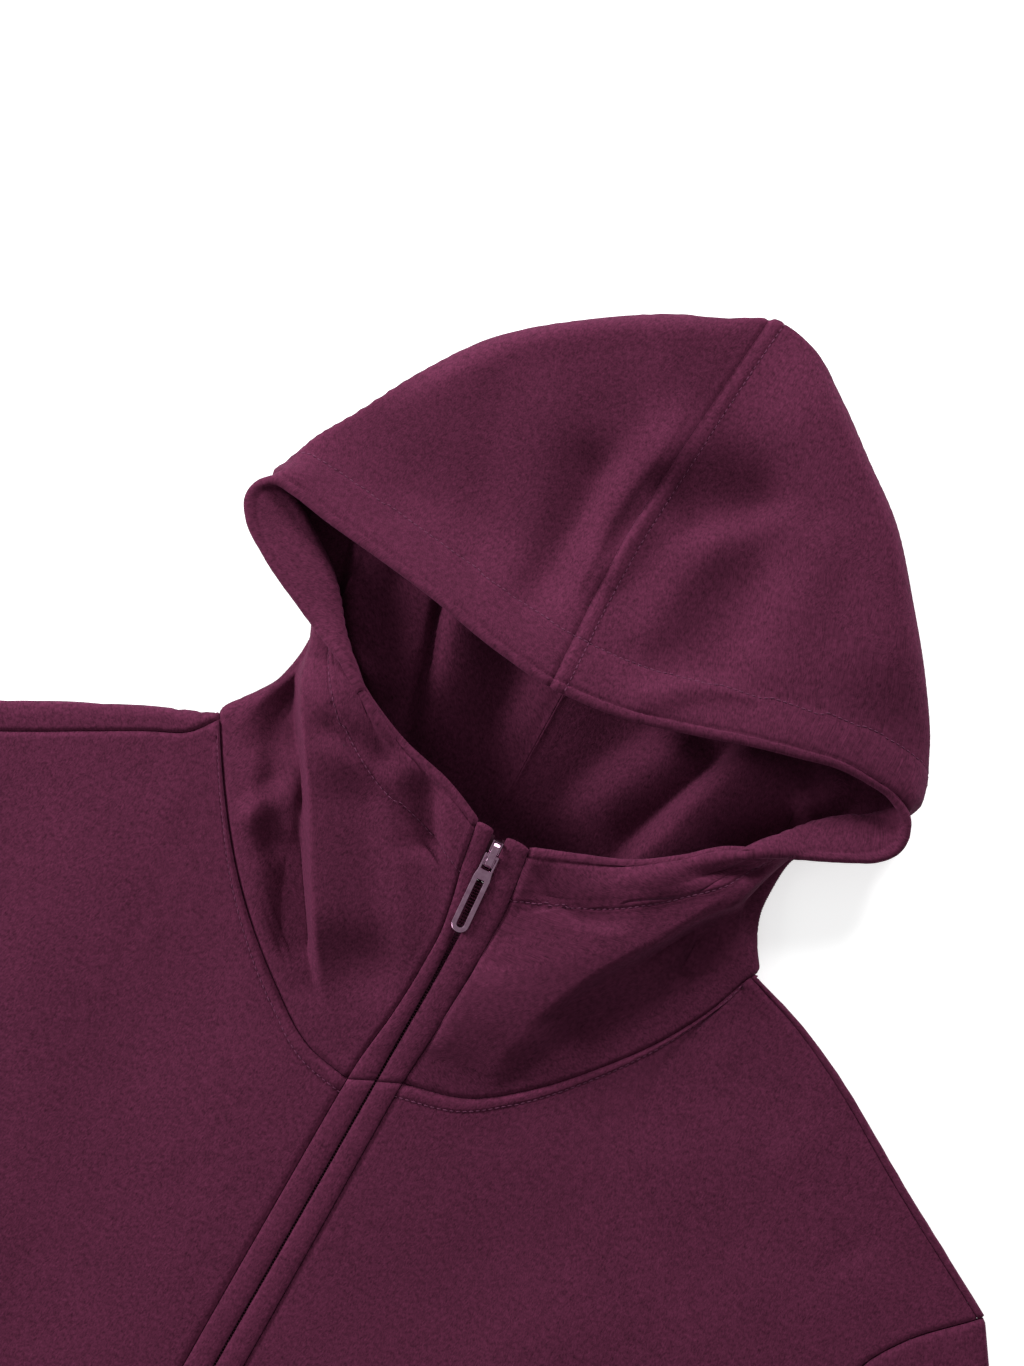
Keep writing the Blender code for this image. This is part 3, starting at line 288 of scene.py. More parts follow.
FOLD_LINE = (
    (0.00, -6.6, 58.0, 16.5),
    (0.10, -65.0, 82.0, 16.0),
    (0.18, -99.0, 116.0, 13.0),
    (0.22, -105.0, 135.0, 10.0),
    (0.25, -107.0, 146.0, 7.0),
    (0.258, -108.5, 156.0, 6.0),
    (0.265, -117.0, 170.0, 5.5),
    (0.272, -138.0, 185.0, 6.0),
    (0.28, -149.8, 193.6, 6.5),
    (0.29, -148.6, 200.6, 7.2),
    (0.305, -146.0, 210.5, 10.0),
    (0.34, -134.2, 231.5, 15.0),
    (0.375, -119.0, 258.0, 19.0),
    (0.41, -99.5, 284.0, 22.0),
    (0.44, -76.0, 303.5, 23.0),
    (0.47, -42.0, 325.5, 21.0),
    (0.487, -24.0, 333.6, 18.5),
    (0.50, -8.0, 342.2, 17.0),
    (0.52, 12.0, 340.6, 15.5),
    (0.545, 31.5, 328.5, 14.0),
    (0.575, 53.5, 311.5, 14.0),
    (0.605, 75.0, 294.5, 14.0),
    (0.635, 95.5, 270.5, 13.0),
    (0.665, 114.5, 246.0, 12.0),
    (0.695, 129.6, 222.0, 10.0),
    (0.712, 134.6, 208.0, 8.5),
    (0.720, 134.6, 199.0, 8.0),
    (0.728, 124.0, 186.0, 6.5),
    (0.738, 107.0, 170.0, 5.5),
    (0.75, 96.6, 150.0, 7.5),
    (0.78, 93.0, 133.0, 11.0),
    (0.83, 81.0, 110.0, 14.0),
    (0.91, 44.0, 77.0, 16.0),
    (1.00, 12.0, 60.0, 16.7),
)
UPPER_LINE = (
    (0.00, -9.6, 85.5, 21.5),
    (0.05, -38.0, 102.0, 21.0),
    (0.085, -62.0, 122.0, 21.0),
    (0.11, -77.5, 134.5, 21.0),
    (0.13, -88.0, 143.5, 21.0),
    (0.15, -98.0, 153.0, 20.0),
    (0.175, -109.0, 166.5, 18.5),
    (0.21, -124.0, 179.0, 16.0),
    (0.235, -136.0, 186.5, 14.5),
    (0.255, -144.5, 191.5, 14.5),
    (0.27, -148.5, 195.0, 16.0),
    (0.29, -144.0, 199.5, 18.5),
    (0.31, -133.0, 203.0, 18.0),
    (0.36, -112.0, 213.0, 17.5),
    (0.42, -80.0, 222.0, 18.0),
    (0.46, -48.0, 226.0, 21.0),
    (0.50, -17.0, 232.0, 25.0),
    (0.55, 24.0, 232.0, 22.5),
    (0.60, 62.0, 229.0, 22.0),
    (0.65, 97.0, 221.0, 22.5),
    (0.70, 124.0, 208.0, 21.0),
    (0.718, 132.0, 202.5, 18.5),
    (0.735, 131.5, 196.0, 14.5),
    (0.75, 127.5, 190.0, 13.0),
    (0.775, 117.0, 184.5, 14.0),
    (0.80, 106.0, 176.5, 16.0),
    (0.82, 97.0, 167.0, 17.0),
    (0.84, 87.0, 156.0, 17.5),
    (0.87, 72.0, 134.0, 18.5),
    (0.89, 58.0, 116.0, 20.0),
    (0.93, 37.0, 98.0, 21.0),
    (1.00, 11.6, 86.0, 21.7),
)
OPENING_EDGE = (
    (0.00, -14.8, 112.2, 27.0),
    (None, -31.3, 119.4, 27.0),
    (None, -54.7, 125.4, 26.5),
    (None, -72.9, 133.0, 25.5),
    (None, -92.0, 143.2, 24.5),
    (None, -115.6, 154.0, 22.0),
    (None, -137.5, 164.9, 19.5),
    (None, -151.8, 175.4, 18.0),
    (0.25, -155.6, 182.0, 18.0),
    (None, -154.6, 189.0, 18.5),
    (None, -149.6, 193.4, 20.0),
    (None, -141.0, 193.2, 21.5),
    (None, -124.0, 190.4, 24.0),
    (None, -100.0, 187.4, 27.5),
    (None, -75.5, 184.0, 31.0),
    (None, -39.4, 177.2, 35.5),
    (0.50, -15.4, 174.8, 37.5),
    (None, 13.7, 177.4, 38.0),
    (None, 43.9, 185.4, 36.5),
    (None, 63.7, 191.6, 34.5),
    (None, 84.1, 196.8, 31.0),
    (None, 99.4, 200.3, 28.0),
    (None, 113.0, 200.6, 25.0),
    (None, 126.5, 199.0, 22.0),
    (None, 134.0, 195.0, 20.0),
    (0.75, 137.2, 188.0, 18.5),
    (None, 136.4, 181.0, 18.0),
    (None, 131.0, 174.6, 18.5),
    (None, 122.0, 169.6, 19.5),
    (None, 105.6, 162.0, 21.0),
    (None, 89.6, 155.4, 23.0),
    (None, 75.5, 148.8, 24.5),
    (None, 63.0, 138.4, 25.5),
    (None, 45.2, 126.4, 26.5),
    (None, 28.2, 119.4, 27.0),
    (1.00, 8.6, 112.0, 27.2),
)
HOOD_LINES = (NECK_SEAM, LOWER_LINE, FOLD_LINE, UPPER_LINE, OPENING_EDGE)
HOOD_LEVELS = np.array([0.0, 0.28, 0.52, 0.78, 1.0])

# %% [markdown]
# The fronts meet under two raised strips beside the zip. A row is y, the left strip's outer seam,
# the zip, the right strip's outer seam, the height of the cloth there, and the gap between the
# strips, which widens where the slider sits.

# %% Table of the zip's strips
PLACKET = (
    (-515.0, -18.0, -8.0, 2.0, 5.8, 0.8),
    (-488.0, -17.8, -7.8, 2.2, 5.8, 0.8),
    (-462.0, -17.6, -7.6, 2.4, 4.8, 0.8),
    (-300.0, -15.8, -5.2, 4.6, 4.4, 0.8),
    (-130.0, -14.2, -3.4, 6.9, 4.8, 0.9),
    (-60.0, -12.8, -2.0, 7.9, 5.4, 0.9),
    (2.0, -11.1, -0.9, 8.7, 7.3, 0.9),
    (30.0, -7.8, -0.4, 10.6, 11.5, 1.1),
    (48.0, -6.7, -0.1, 11.6, 14.6, 1.4),
    (64.0, -6.5, -0.3, 12.1, 17.5, 1.9),
    (80.0, -8.6, -1.4, 12.1, 20.4, 3.6),
    (97.0, -12.4, -3.0, 10.8, 23.9, 5.6),
    (112.0, -14.8, -4.4, 8.6, 27.0, 5.8),
)
NECK_AT_ZIP = (-2.6, 2.2, 6.4)  # y of the neck seam at the left strip, the zip and the right strip
HEM_Y = -515.0
COLLAR_TOP = 112.0


# %% The hood's surface
def ring(rows, at):
    """Points of a line round the hood at the stations given."""
    points = np.array([row[1:] for row in rows], float)
    run = np.concatenate([[0.0], np.cumsum(np.linalg.norm(np.diff(points, axis=0), axis=1))])
    known = [i for i, row in enumerate(rows) if row[0] is not None]
    knots = np.interp(run, run[known], [rows[i][0] for i in known])
    return np.concatenate([rounded(knots, points[:, :2], at), smooth(knots, points[:, 2:], at)], axis=1)


def hood_surface(station, height):
    """The middle of the hood's cloth over a grid of stations and heights up the hood."""
    rings = np.stack([ring(rows, station) for rows in HOOD_LINES])
    rate = np.diff(rings, axis=0) / np.diff(HOOD_LEVELS)[:, None, None]
    points = cubic(HOOD_LEVELS, rings, held_slopes(rate), height)
    return points.transpose(1, 0, 2)


def seam_snap(points, station, height):
    """Draws the hood's two front edges onto the strips beside the zip."""
    for side, end, column in (("left", 0.0, 1), ("right", 1.0, 3)):
        near = step_up(-abs(station - end), -0.06, 0.0)[:, None, None]
        edge = hood_surface(np.array([end]), height)[0]
        on_seam = table_line(PLACKET, [column, 4], edge[:, 1])
        points[..., (0, 2)] += near * (on_seam - edge[:, (0, 2)])[None]
    return points


print("hood lines:", [len(rows) for rows in HOOD_LINES], "rows")

# %% [markdown]
# ## Folds
#
# A fold in heavy knit is a soft ridge or hollow, often gentle on one side and steep on the other.
# Each fold is listed: how far it lifts the cloth, how far it reaches to the viewer's left and
# right, and its run over the plan, drawn downwards. A last number, where there is one, is how far
# the cloth below the crest is tucked in under it. Folds are kept by the layer that they are pressed
# into, because the hood's back, its top and the collar lie over each other.

# %% Tables of folds
FOLD_FADE = 0.25  # share of a run over which a fold grows from nothing at each end
FOLD_STEPS = 64  # points along a fold's run
COLLAR_FOLDS = (
    (13.0, 5.0, 50.0,
     ((-116, 158), (-109, 143), (-98, 122), (-81.5, 97), (-64, 67), (-44, 35), (-30, 18)), 1.2),
    (-7.0, 24.0, 4.0, ((-113, 141), (-105, 123), (-97, 109), (-89, 97))),
    (-7.0, 18.0, 4.0, ((-82, 84), (-73, 69), (-64, 54), (-54, 39), (-46, 28))),
    (3.6, 8.0, 8.0, ((-82, 92), (-92, 78), (-98, 64))),
    (-3.0, 9.0, 9.0, ((-101, 104), (-93, 86), (-80, 54))),
    (-3.2, 10.0, 9.0, ((-94, 116), (-72, 118), (-48, 120))),
    (-6.0, 22.0, 4.0, ((-40, 124), (-31, 109), (-20, 92))),
    (-6.0, 34.0, 18.0, ((-74, 118), (-56, 88), (-38, 62), (-18, 26))),
    (10.5, 46.0, 5.0, ((112, 164), (100.4, 145), (84.6, 126.6), (72, 106), (60, 86)), 1.5),
    (9.0, 42.0, 16.0, ((74, 110), (64, 93), (54.4, 76.6), (41.4, 49.7), (30, 22))),
    (-7.5, 5.0, 34.0, ((90, 134), (76, 108), (60, 82), (44, 46))),
    (-3.6, 6.0, 10.0, ((97, 128), (91, 119), (88, 110), (89, 96))),
    (3.0, 9.0, 7.0, ((84, 114), (78, 100), (77, 78))),
    (-3.0, 6.0, 14.0, ((9, 116), (20, 103), (36, 100), (60, 107))),
    (-4.0, 6.0, 7.0, ((106, 157), (90, 149), (74, 140), (58, 130))),
    (2.5, 6.0, 22.0, ((11, 66), (15.6, 39), (15, 20))),
)
INSIDE_FOLDS = (
    (9.0, 3.5, 34.0, ((-114, 196), (-106, 177), (-99.8, 160), (-91.6, 149), (-82, 141), (-70, 132))),
    (6.0, 20.0, 3.5, ((-76, 204), (-71, 180), (-65.5, 163), (-61.5, 143), (-58, 129), (-55, 112)), 2.0),
    (10.0, 4.0, 30.0, ((-68, 206), (-62, 178), (-56, 158), (-52, 140), (-48, 118))),
    (4.5, 16.0, 34.0, ((-13, 196), (-12, 160), (-11, 130), (-10, 108))),
    (8.0, 14.0, 22.0, ((46, 190), (37, 166), (27, 148), (19, 122))),
    (15.0, 4.0, 38.0, ((74, 210), (66, 186), (55, 157), (46, 127), (40, 106))),
    (6.0, 14.0, 12.0, ((106, 204), (104, 190), (94, 172))),
)
CROWN_FOLDS = (
    (8.0, 10.0, 80.0, ((-6, 335), (-41, 321), (-73, 300.5), (-94, 280), (-111.5, 255), (-126, 229))),
    (10.0, 56.0, 20.0, ((-10, 331), (26, 322), (50, 306), (71, 289), (90, 265), (107, 241), (119, 217))),
    (2.4, 22.0, 22.0, ((-74, 288), (-68, 270), (-62, 250), (-55, 232), (-46, 206), (-42, 186))),
    (5.6, 15.0, 22.0, ((-18, 304), (-20.5, 272), (-25, 248), (-25, 230), (-22, 206))),
    (-4.2, 8.0, 5.0, ((-15, 274), (-18, 256), (-20, 240), (-19, 222))),
    (-5.2, 16.0, 10.0, ((-40, 276), (-38, 250), (-35, 230), (-34.5, 210), (-37, 188))),
    (-6.5, 32.0, 8.0, ((36, 290), (16, 268), (1, 255), (-9, 244))),
    (4.4, 22.0, 12.0, ((24, 268), (15, 244), (11.5, 222), (10.5, 196))),
    (-2.6, 20.0, 24.0, ((36, 276), (33, 253), (29, 234), (28.5, 214), (31, 194))),
    (3.0, 18.0, 20.0, ((48, 290), (52, 264), (55, 239), (59, 220), (63, 200))),
)
BRIM_TUCK = (3.0, 5.0, 6.0, ((60, 208), (34, 199), (24, 190), (10, 184)))


# %% Lift of the folds
def fold_move(folds, plan):
    """How far a set of folds slides and lifts the cloth at points of the plan."""
    move = np.zeros((*plan.shape[:-1], 3))
    shares = np.linspace(0, 1, FOLD_STEPS)
    grown = within(shares, (0, FOLD_FADE), (1 - FOLD_FADE, 1))
    for rise, left, right, run, *tuck in folds:
        run = np.array(run, float)
        run = rounded(by_distance(run), run, shares)
        reach, steep = max(left, right), min(left, right)
        near = ((plan > run.min(axis=0) - reach) & (plan < run.max(axis=0) + reach)).all(axis=-1)
        closest = np.full(near.sum(), np.inf)
        here_move = np.zeros((near.sum(), 3))
        for start, end, low, high in zip(run[:-1], run[1:], grown[:-1], grown[1:]):
            length = np.linalg.norm(end - start)
            along = (end - start) / length
            offset = plan[near] - start
            forward = np.clip(offset @ along, 0, length)
            offset = offset - forward[:, None] * along
            away = np.linalg.norm(offset, axis=-1)
            way = offset / np.maximum(away, 1e-9)[:, None]
            to_right = np.clip(along[0] * way[:, 1] - along[1] * way[:, 0], -1, 1)
            reaches = (right * (1 + to_right) + left * (1 - to_right)) / 2
            share = low + (high - low) * forward / length
            lift = rise * np.clip(1 - (away / reaches) ** 2, 0, 1) ** 2 * share
            under = np.clip(to_right if right < left else -to_right, 0, 1) * away / steep
            slide = sum(tuck) * under * np.exp(1 - under) * share
            moved = np.concatenate([-way * slide[:, None], lift[:, None]], axis=1)
            nearer = away < closest
            here_move[nearer], closest = moved[nearer], np.minimum(closest, away)
        move[near] += here_move
    return move


print("folds:", len(COLLAR_FOLDS) + len(INSIDE_FOLDS) + len(CROWN_FOLDS) + 1, "in the hood")

# %% [markdown]
# ## Rows where the sewing is
#
# A seam or a stitch line is only a millimetre wide, while plain cloth needs a point every two or
# three millimetres. So each line of a grid is measured, and gets new points: some at set
# distances from its two ends, where the sewing is, and the rest evenly spread.

# %% Grids of cloth
SEAM_ROWS = (0.0, 0.5, 1.0, 1.6, 2.4, 3.6, 4.8, 5.6, 6.2, 6.8, 7.8, 9.5)
HEM_ROWS = (0, 0.6, 1.2, 1.6, 2, 2.6, 3.6, 5, 7, 9, 11, 13, 15, 17)
HEM_ROWS += (18.7, 19.9, 20.6, 21.1, 21.6, 22.3, 23.6, 25.4, 28)  # close beside the stitches
PLAIN_ROWS = (0.0, 2.5)


def lengths(grid, axis):
    """How far each point of a grid is from the first one of its line, along an axis."""
    steps = np.linalg.norm(np.diff(grid[..., :3], axis=axis), axis=-1)
    start = np.zeros_like(np.take(steps, [0], axis=axis))
    return np.concatenate([start, np.cumsum(steps, axis=axis)], axis=axis)


def respaced(grid, axis, near_start, count, near_end, density=None):
    """The grid with new points on its lines along an axis, closer where density is higher."""
    if axis == 0:
        turned = grid.transpose(1, 0, 2)
        return respaced(turned, 1, near_start, count, near_end, density).transpose(1, 0, 2)
    lines = []
    for line, run in zip(grid, lengths(grid, 1)):
        even = np.linspace(near_start[-1], run[-1] - near_end[-1], count + 2)
        if density is not None:
            fine = np.linspace(even[0], even[-1], 400)
            crowd = np.cumsum(density(*(np.interp(fine, run, channel) for channel in line.T[3:])))
            even = np.interp(np.linspace(crowd[0], crowd[-1], count + 2), crowd, fine)
        even = even[1:-1]
        at = np.concatenate([near_start, even, run[-1] - np.array(near_end)[::-1]])
        lines.append(np.stack([np.interp(at, run, channel) for channel in line.T], axis=-1))
    return np.stack(lines)


def normals_of(grid, flip):
    """Unit normals of a grid of points."""
    normal = np.cross(np.gradient(grid[..., :3], axis=0), np.gradient(grid[..., :3], axis=1))
    normal /= np.maximum(np.linalg.norm(normal, axis=-1, keepdims=True), 1e-9)
    return -normal if flip else normal


def from_edges(grid):
    """Distances of each point of a grid from its four edges."""
    across, up = lengths(grid, 0), lengths(grid, 1)
    return {"u0": across, "u1": across[-1:] - across, "v0": up, "v1": up[:, -1:] - up}


# %% [markdown]
# ## A closed wall of cloth
#
# Cloth has two faces and an edge. The wall is built as one tube of quads for each piece: out along
# the face that shows, round the rim, and back along the other face. A hem's rim is a full round,
# and a seam's edge is nearly square, as it meets the next piece. Doing this by hand, rather than
# with Solidify, lets each face have its own relief.

# %% Walls
SEAM_GAP = 0.3
RIM_ANGLES = np.radians([35.0, 65.0, 90.0, 115.0, 145.0])
SQUARE_RIM = 0.08  # how far a seam's edge bulges, as a share of half its thickness


def pulled_in(grid, edges, by=SEAM_GAP / 2):
    """Draws the named edges of a grid back from their seams."""
    grid = grid.copy()
    places = {
        "u0": ((0, slice(None)), (1, slice(None))),
        "u1": ((-1, slice(None)), (-2, slice(None))),
        "v0": ((slice(None), 0), (slice(None), 1)),
        "v1": ((slice(None), -1), (slice(None), -2)),
    }
    for edge, inner in (places[name] for name in edges):
        way = grid[inner][..., :3] - grid[edge][..., :3]
        way = way / np.maximum(np.linalg.norm(way, axis=-1, keepdims=True), 1e-9)
        grid[(*edge, slice(0, 3))] += way * by
    return grid


def rim(top, bottom, before, bulge):
    """Points round a rim, from its top to its bottom edge."""
    middle, half = (top + bottom) / 2, (top - bottom) / 2
    out = middle - before
    out -= half * (out * half).sum(-1, keepdims=True) / np.maximum((half**2).sum(-1, keepdims=True), 1e-9)
    out /= np.maximum(np.linalg.norm(out, axis=-1, keepdims=True), 1e-9)
    depth = np.linalg.norm(half, axis=-1, keepdims=True) * bulge
    return np.stack([middle + half * math.cos(a) + out * depth * math.sin(a) for a in RIM_ANGLES], axis=1)


def wall(name, grid, normals, outer, inner, round_edges=(), closed=False):
    """A piece of cloth as a mesh, with the offsets of its two faces from its middle."""
    grid = grid[..., :3]
    top = grid + normals * np.broadcast_to(outer, grid.shape[:2])[..., None]
    bottom = grid - normals * np.broadcast_to(inner, grid.shape[:2])[..., None]
    for sheet in (top, bottom):
        sheet[..., 2] = np.maximum(sheet[..., 2], 0.0)
    first = rim(bottom[:, 0], top[:, 0], grid[:, 1], 1.0 if "v0" in round_edges else SQUARE_RIM)
    last = rim(top[:, -1], bottom[:, -1], grid[:, -2], 1.0 if "v1" in round_edges else SQUARE_RIM)
    tube = np.concatenate([top, last, bottom[:, ::-1], first], axis=1)
    tube[..., 2] = np.maximum(tube[..., 2], 0.0)
    columns, around = tube.shape[:2]
    number = np.arange(columns * around).reshape(columns, around)
    here, there = (number, np.roll(number, -1, axis=0)) if closed else (number[:-1], number[1:])
    here, there = here.ravel(), there.ravel()
    turn = np.roll(np.arange(around), -1)
    next_here = number[: len(here) // around][:, turn].ravel()
    next_there = np.roll(number, -1, axis=0)[: len(here) // around][:, turn].ravel()
    faces = np.stack([here, there, next_there, next_here], axis=1).tolist()
    if not closed:
        rows = grid.shape[1]
        upper = np.arange(rows)
        lower = around - len(RIM_ANGLES) - 1 - upper
        for column, order in ((0, 1), (columns - 1, -1)):
            base = column * around
            quads = np.stack([upper[:-1], upper[1:], lower[1:], lower[:-1]], axis=1) + base
            ends = [np.arange(rows - 1, rows + len(RIM_ANGLES) + 1) + base]
            ends.append(np.append(np.arange(around - len(RIM_ANGLES) - 1, around), 0) + base)
            faces += quads[:, ::order].tolist() + [end[::order].tolist() for end in ends]
    facing = np.cross(np.gradient(grid, axis=0), np.gradient(grid, axis=1))
    if (facing * normals).sum() < 0:
        faces = [face[::-1] for face in faces]
    across, up = lengths(grid, 0), lengths(grid, 1)
    half_round = np.zeros((columns, len(RIM_ANGLES)))
    u = (across, across[:, -1:] + half_round, across[:, ::-1], across[:, :1] + half_round)
    v = (up, up[:, -1:] + half_round + 1, up[:, ::-1], half_round - 1)
    on_cloth = np.stack([np.concatenate(part, axis=1).ravel() for part in (u, v)], axis=1)
    return cloth_mesh(name, tube.reshape(-1, 3), faces, on_cloth), top


def cloth_mesh(name, points, faces, lengths_on_cloth):
    """A smooth mesh whose UV map holds the lengths on the cloth in metres."""
    mesh = bpy.data.meshes.new(name)
    mesh.from_pydata(to_frame(points).tolist(), [], faces)
    corners = np.empty(len(mesh.loops), dtype=np.int64)
    mesh.loops.foreach_get("vertex_index", corners)
    on_cloth = mesh.uv_layers.new(name="on_cloth")
    on_cloth.data.foreach_set("uv", (lengths_on_cloth[corners] * MM).ravel())
    mesh.shade_smooth()
    piece = bpy.data.objects.new(name, mesh)
    bpy.context.scene.collection.objects.link(piece)
    mesh.calc_loop_triangles()
    print(name, len(mesh.loop_triangles), "triangles")
    return piece


# %% [markdown]
# ## The look of brushed double knit
#
# The yarn is a melange: darker and paler fibres spun together, so the face is finely mottled in
# soft specks half a millimetre long. Brushing raises a nap, which catches light at a glancing
# angle. One node group makes the specks and the nap's relief from the piece's own lengths and
# from its place, and each cloth material sets its own colour with it.


# %% Node helpers
def add_node(tree, kind, values=None, **settings):
    """A node with its settings and the values of its inputs."""
    node = tree.nodes.new(kind)
    for name, value in settings.items():
        setattr(node, name, value)
    for name, value in (values or {}).items():
        node.inputs[name].default_value = value
    return node


def math_node(tree, operation, first, second):
    """A Math node whose inputs are sockets or numbers."""
    node = tree.nodes.new("ShaderNodeMath")
    node.operation = operation
    for socket, value in zip(node.inputs, (first, second)):
        if isinstance(value, (int, float)):
            socket.default_value = value
        else:
            tree.links.new(value, socket)
    return node.outputs[0]


# %% The knit's grain
def knit_grain():
    """A node group that puts out the melange's shade and the height of the brushed face."""
    group = bpy.data.node_groups.new("knit_grain", "ShaderNodeTree")
    for name, kind, value in (("Speck", "NodeSocketFloat", 1300.0), ("Contrast", "NodeSocketFloat", 0.5)):
        socket = group.interface.new_socket(name=name, in_out="INPUT", socket_type=kind)
        socket.default_value = value
    group.interface.new_socket(name="Shade", in_out="OUTPUT", socket_type="NodeSocketFloat")
    group.interface.new_socket(name="Height", in_out="OUTPUT", socket_type="NodeSocketFloat")
    entry, leave = group.nodes.new("NodeGroupInput"), group.nodes.new("NodeGroupOutput")
    place = add_node(group, "ShaderNodeTexCoord")
    along = add_node(group, "ShaderNodeMapping", {"Scale": (1.0, 0.55, 1.0)})
    group.links.new(place.outputs["UV"], along.inputs["Vector"])

    def noise(vector, scale, detail, roughness):
        node = add_node(group, "ShaderNodeTexNoise", {"Detail": detail, "Roughness": roughness})
        group.links.new(vector, node.inputs["Vector"])
        if isinstance(scale, (int, float)):
            node.inputs["Scale"].default_value = scale
        else:
            group.links.new(scale, node.inputs["Scale"])
        return math_node(group, "SUBTRACT", node.outputs["Fac"], 0.5)

    coarse = math_node(group, "MULTIPLY", entry.outputs["Speck"], 0.42)
    specks = noise(along.outputs["Vector"], entry.outputs["Speck"], 3.0, 0.62)
    fuzz = noise(place.outputs["Object"], coarse, 2.0, 0.6)
    clouds = noise(place.outputs["Object"], 55.0, 2.0, 0.5)
    both = math_node(group, "ADD", specks, math_node(group, "MULTIPLY", fuzz, 0.7))
    mottle = math_node(group, "MULTIPLY", both, entry.outputs["Contrast"])
    soft = math_node(group, "MULTIPLY", clouds, 0.22)
    shade = math_node(group, "ADD", math_node(group, "ADD", mottle, soft), 1.0)
    group.links.new(shade, leave.inputs["Shade"])
    group.links.new(both, leave.inputs["Height"])
    return group


# %% Cloth materials
KNIT_GRAIN = knit_grain()


def cloth_material(name, colour, contrast, sheen, relief):
    """A textile of one dyed colour, mottled and raised by the knit's grain."""
    material = bpy.data.materials.new(name)
    material.use_nodes = True
    tree = material.node_tree
    shader = tree.nodes["Principled BSDF"]
    grain = add_node(tree, "ShaderNodeGroup", node_tree=KNIT_GRAIN)
    grain.inputs["Contrast"].default_value = contrast
    tone = add_node(tree, "ShaderNodeVectorMath", {0: colour}, operation="SCALE")
    tree.links.new(grain.outputs["Shade"], tone.inputs["Scale"])
    tree.links.new(tone.outputs["Vector"], shader.inputs["Base Color"])
    bump = add_node(tree, "ShaderNodeBump", {"Strength": 1.0, "Distance": relief * MM})
    tree.links.new(grain.outputs["Height"], bump.inputs["Height"])
    tree.links.new(bump.outputs["Normal"], shader.inputs["Normal"])
    shader.inputs["Roughness"].default_value = 0.92
    shader.inputs["Specular IOR Level"].default_value = 0.06
    shader.inputs["Sheen Weight"].default_value = sheen
    shader.inputs["Sheen Roughness"].default_value = 0.45
    shader.inputs["Sheen Tint"].default_value = (0.55, 0.20, 0.42, 1.0)
    material.diffuse_color = (*colour, 1.0)
    return material


KNIT = cloth_material("brushed_knit", (0.073, 0.0136, 0.0346), 1.6, 0.06, 0.22)
THREAD = cloth_material("sewing_thread", (0.105, 0.030, 0.062), 0.4, 0.1, 0.05)
TAPE = cloth_material("zip_tape", (0.034, 0.009, 0.018), 0.4, 0.05, 0.08)


def dress(piece, node, material=KNIT):
    """Gives a piece its material, and its part in the frame in place of a plain wall."""
    piece.data.materials.append(material)
    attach(piece, "hoodie")
    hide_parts(node)


print("materials:", KNIT.name, THREAD.name, TAPE.name)

# %% [markdown]
# ## Seams as relief
#
# Where two pieces join, the cloth dips into the seam. Beside a topstitched seam lies a band, a
# little proud because the turnings are under it, and the thread pulls a fine groove along the
# band's edge. These are heights added to the face that shows.

# %% Relief
BAND = 6.2  # from a seam to its line of stitches
HEM_STITCH = 21.1  # from a hem's edge to its line of stitches


def fading(away, width):
    """1 at an edge, fading over a width."""
    return np.exp(-((away / width) ** 2))


def dip(away, depth=1.1, width=1.2):
    """Cloth that sinks into a seam at its edge."""
    return -depth * fading(away, width)


def groove(away, at, depth=0.5, width=0.65):
    """Cloth pressed in along a line of stitches."""
    return -depth * fading(away - at, width)


def band(away, rise=0.5):
    """A topstitched band beside a seam."""
    return rise * step_up(away, 0.4, 2.6) * beside(away, BAND - 1.0, BAND + 1.6) + groove(away, BAND)


def beside(away, low, high):
    """1 from an edge to low, and a soft fall to 0 at high."""
    return 1 - step_up(away, low, high)


def puckers(run, seed, size=0.12, pitch=7.0):
    """Small uneven waves along a sewn line."""
    random = np.random.default_rng(seed)
    waves = 0.0
    for stretch in (1.0, 1.7, 0.62):
        waves = waves + np.sin(run * 2 * math.pi / (pitch * stretch) + random.uniform(0, 6.28)) / 3
    return size * waves


def hem_layer(hem):
    """Thickness of the turned layer inside a hem."""
    return HEM_LAYER * beside(hem, HEM_DEPTH - 1.0, HEM_DEPTH + 3.0)


def hem_face(hem, run, seed, rise=0.3, end=23.5):
    """What a hem adds to the face: a rise over the turned layer, its stitches' groove, puckers."""
    face = groove(hem, HEM_STITCH) + rise * beside(hem, 19.5, end)
    return face + puckers(run, seed) * beside(hem, 18, 26)


# %% [markdown]
# ## The hood
#
# Two halves are cut in one with their sides of the stand-up collar and sewn together over the
# crown. The right half's turnings are topstitched. The hem round the opening is turned inside, so
# the wall is two layers thick there and ends in a full round.

# %% Hood
HOOD_COLUMNS, HOOD_ROWS = 176, 188
COLLAR_CLEAR = 3.4  # what lies over the hood's back keeps at least this far above it
dense_round = np.linspace(0, 0.5, 420)
dense_up = np.linspace(0, 1, 420)


def with_places(points, station, height):
    """Adds each point's station and height as two more channels."""
    station, height = np.broadcast_arrays(station[:, None], height[None, :])
    return np.concatenate([points, station[..., None], height[..., None]], axis=-1)


def collar_crowd(station, height):
    """More columns where the collar is creased than over the crown."""
    return 0.85 + 0.75 * step_up(abs(station - 0.5), 0.20, 0.27)


def edge_crowd(station, height):
    """More rows where the crown turns over at its outer edge."""
    at_crown = step_up(-abs(station - 0.5), -0.24, -0.20)
    return 1.0 + 1.6 * at_crown * fading(height - HOOD_LEVELS[2], 0.03)


def softened(field, times):
    """A field over the grid with its sharp corners rounded off."""
    for _ in range(times):
        for axis in (0, 1):
            before, after = np.roll(field, 1, axis), np.roll(field, -1, axis)
            field = np.moveaxis((before + 2 * field + after) / 4, axis, 0)
            field[0], field[-1] = field[1], field[-2]
            field = np.moveaxis(field, 0, axis)
    return field


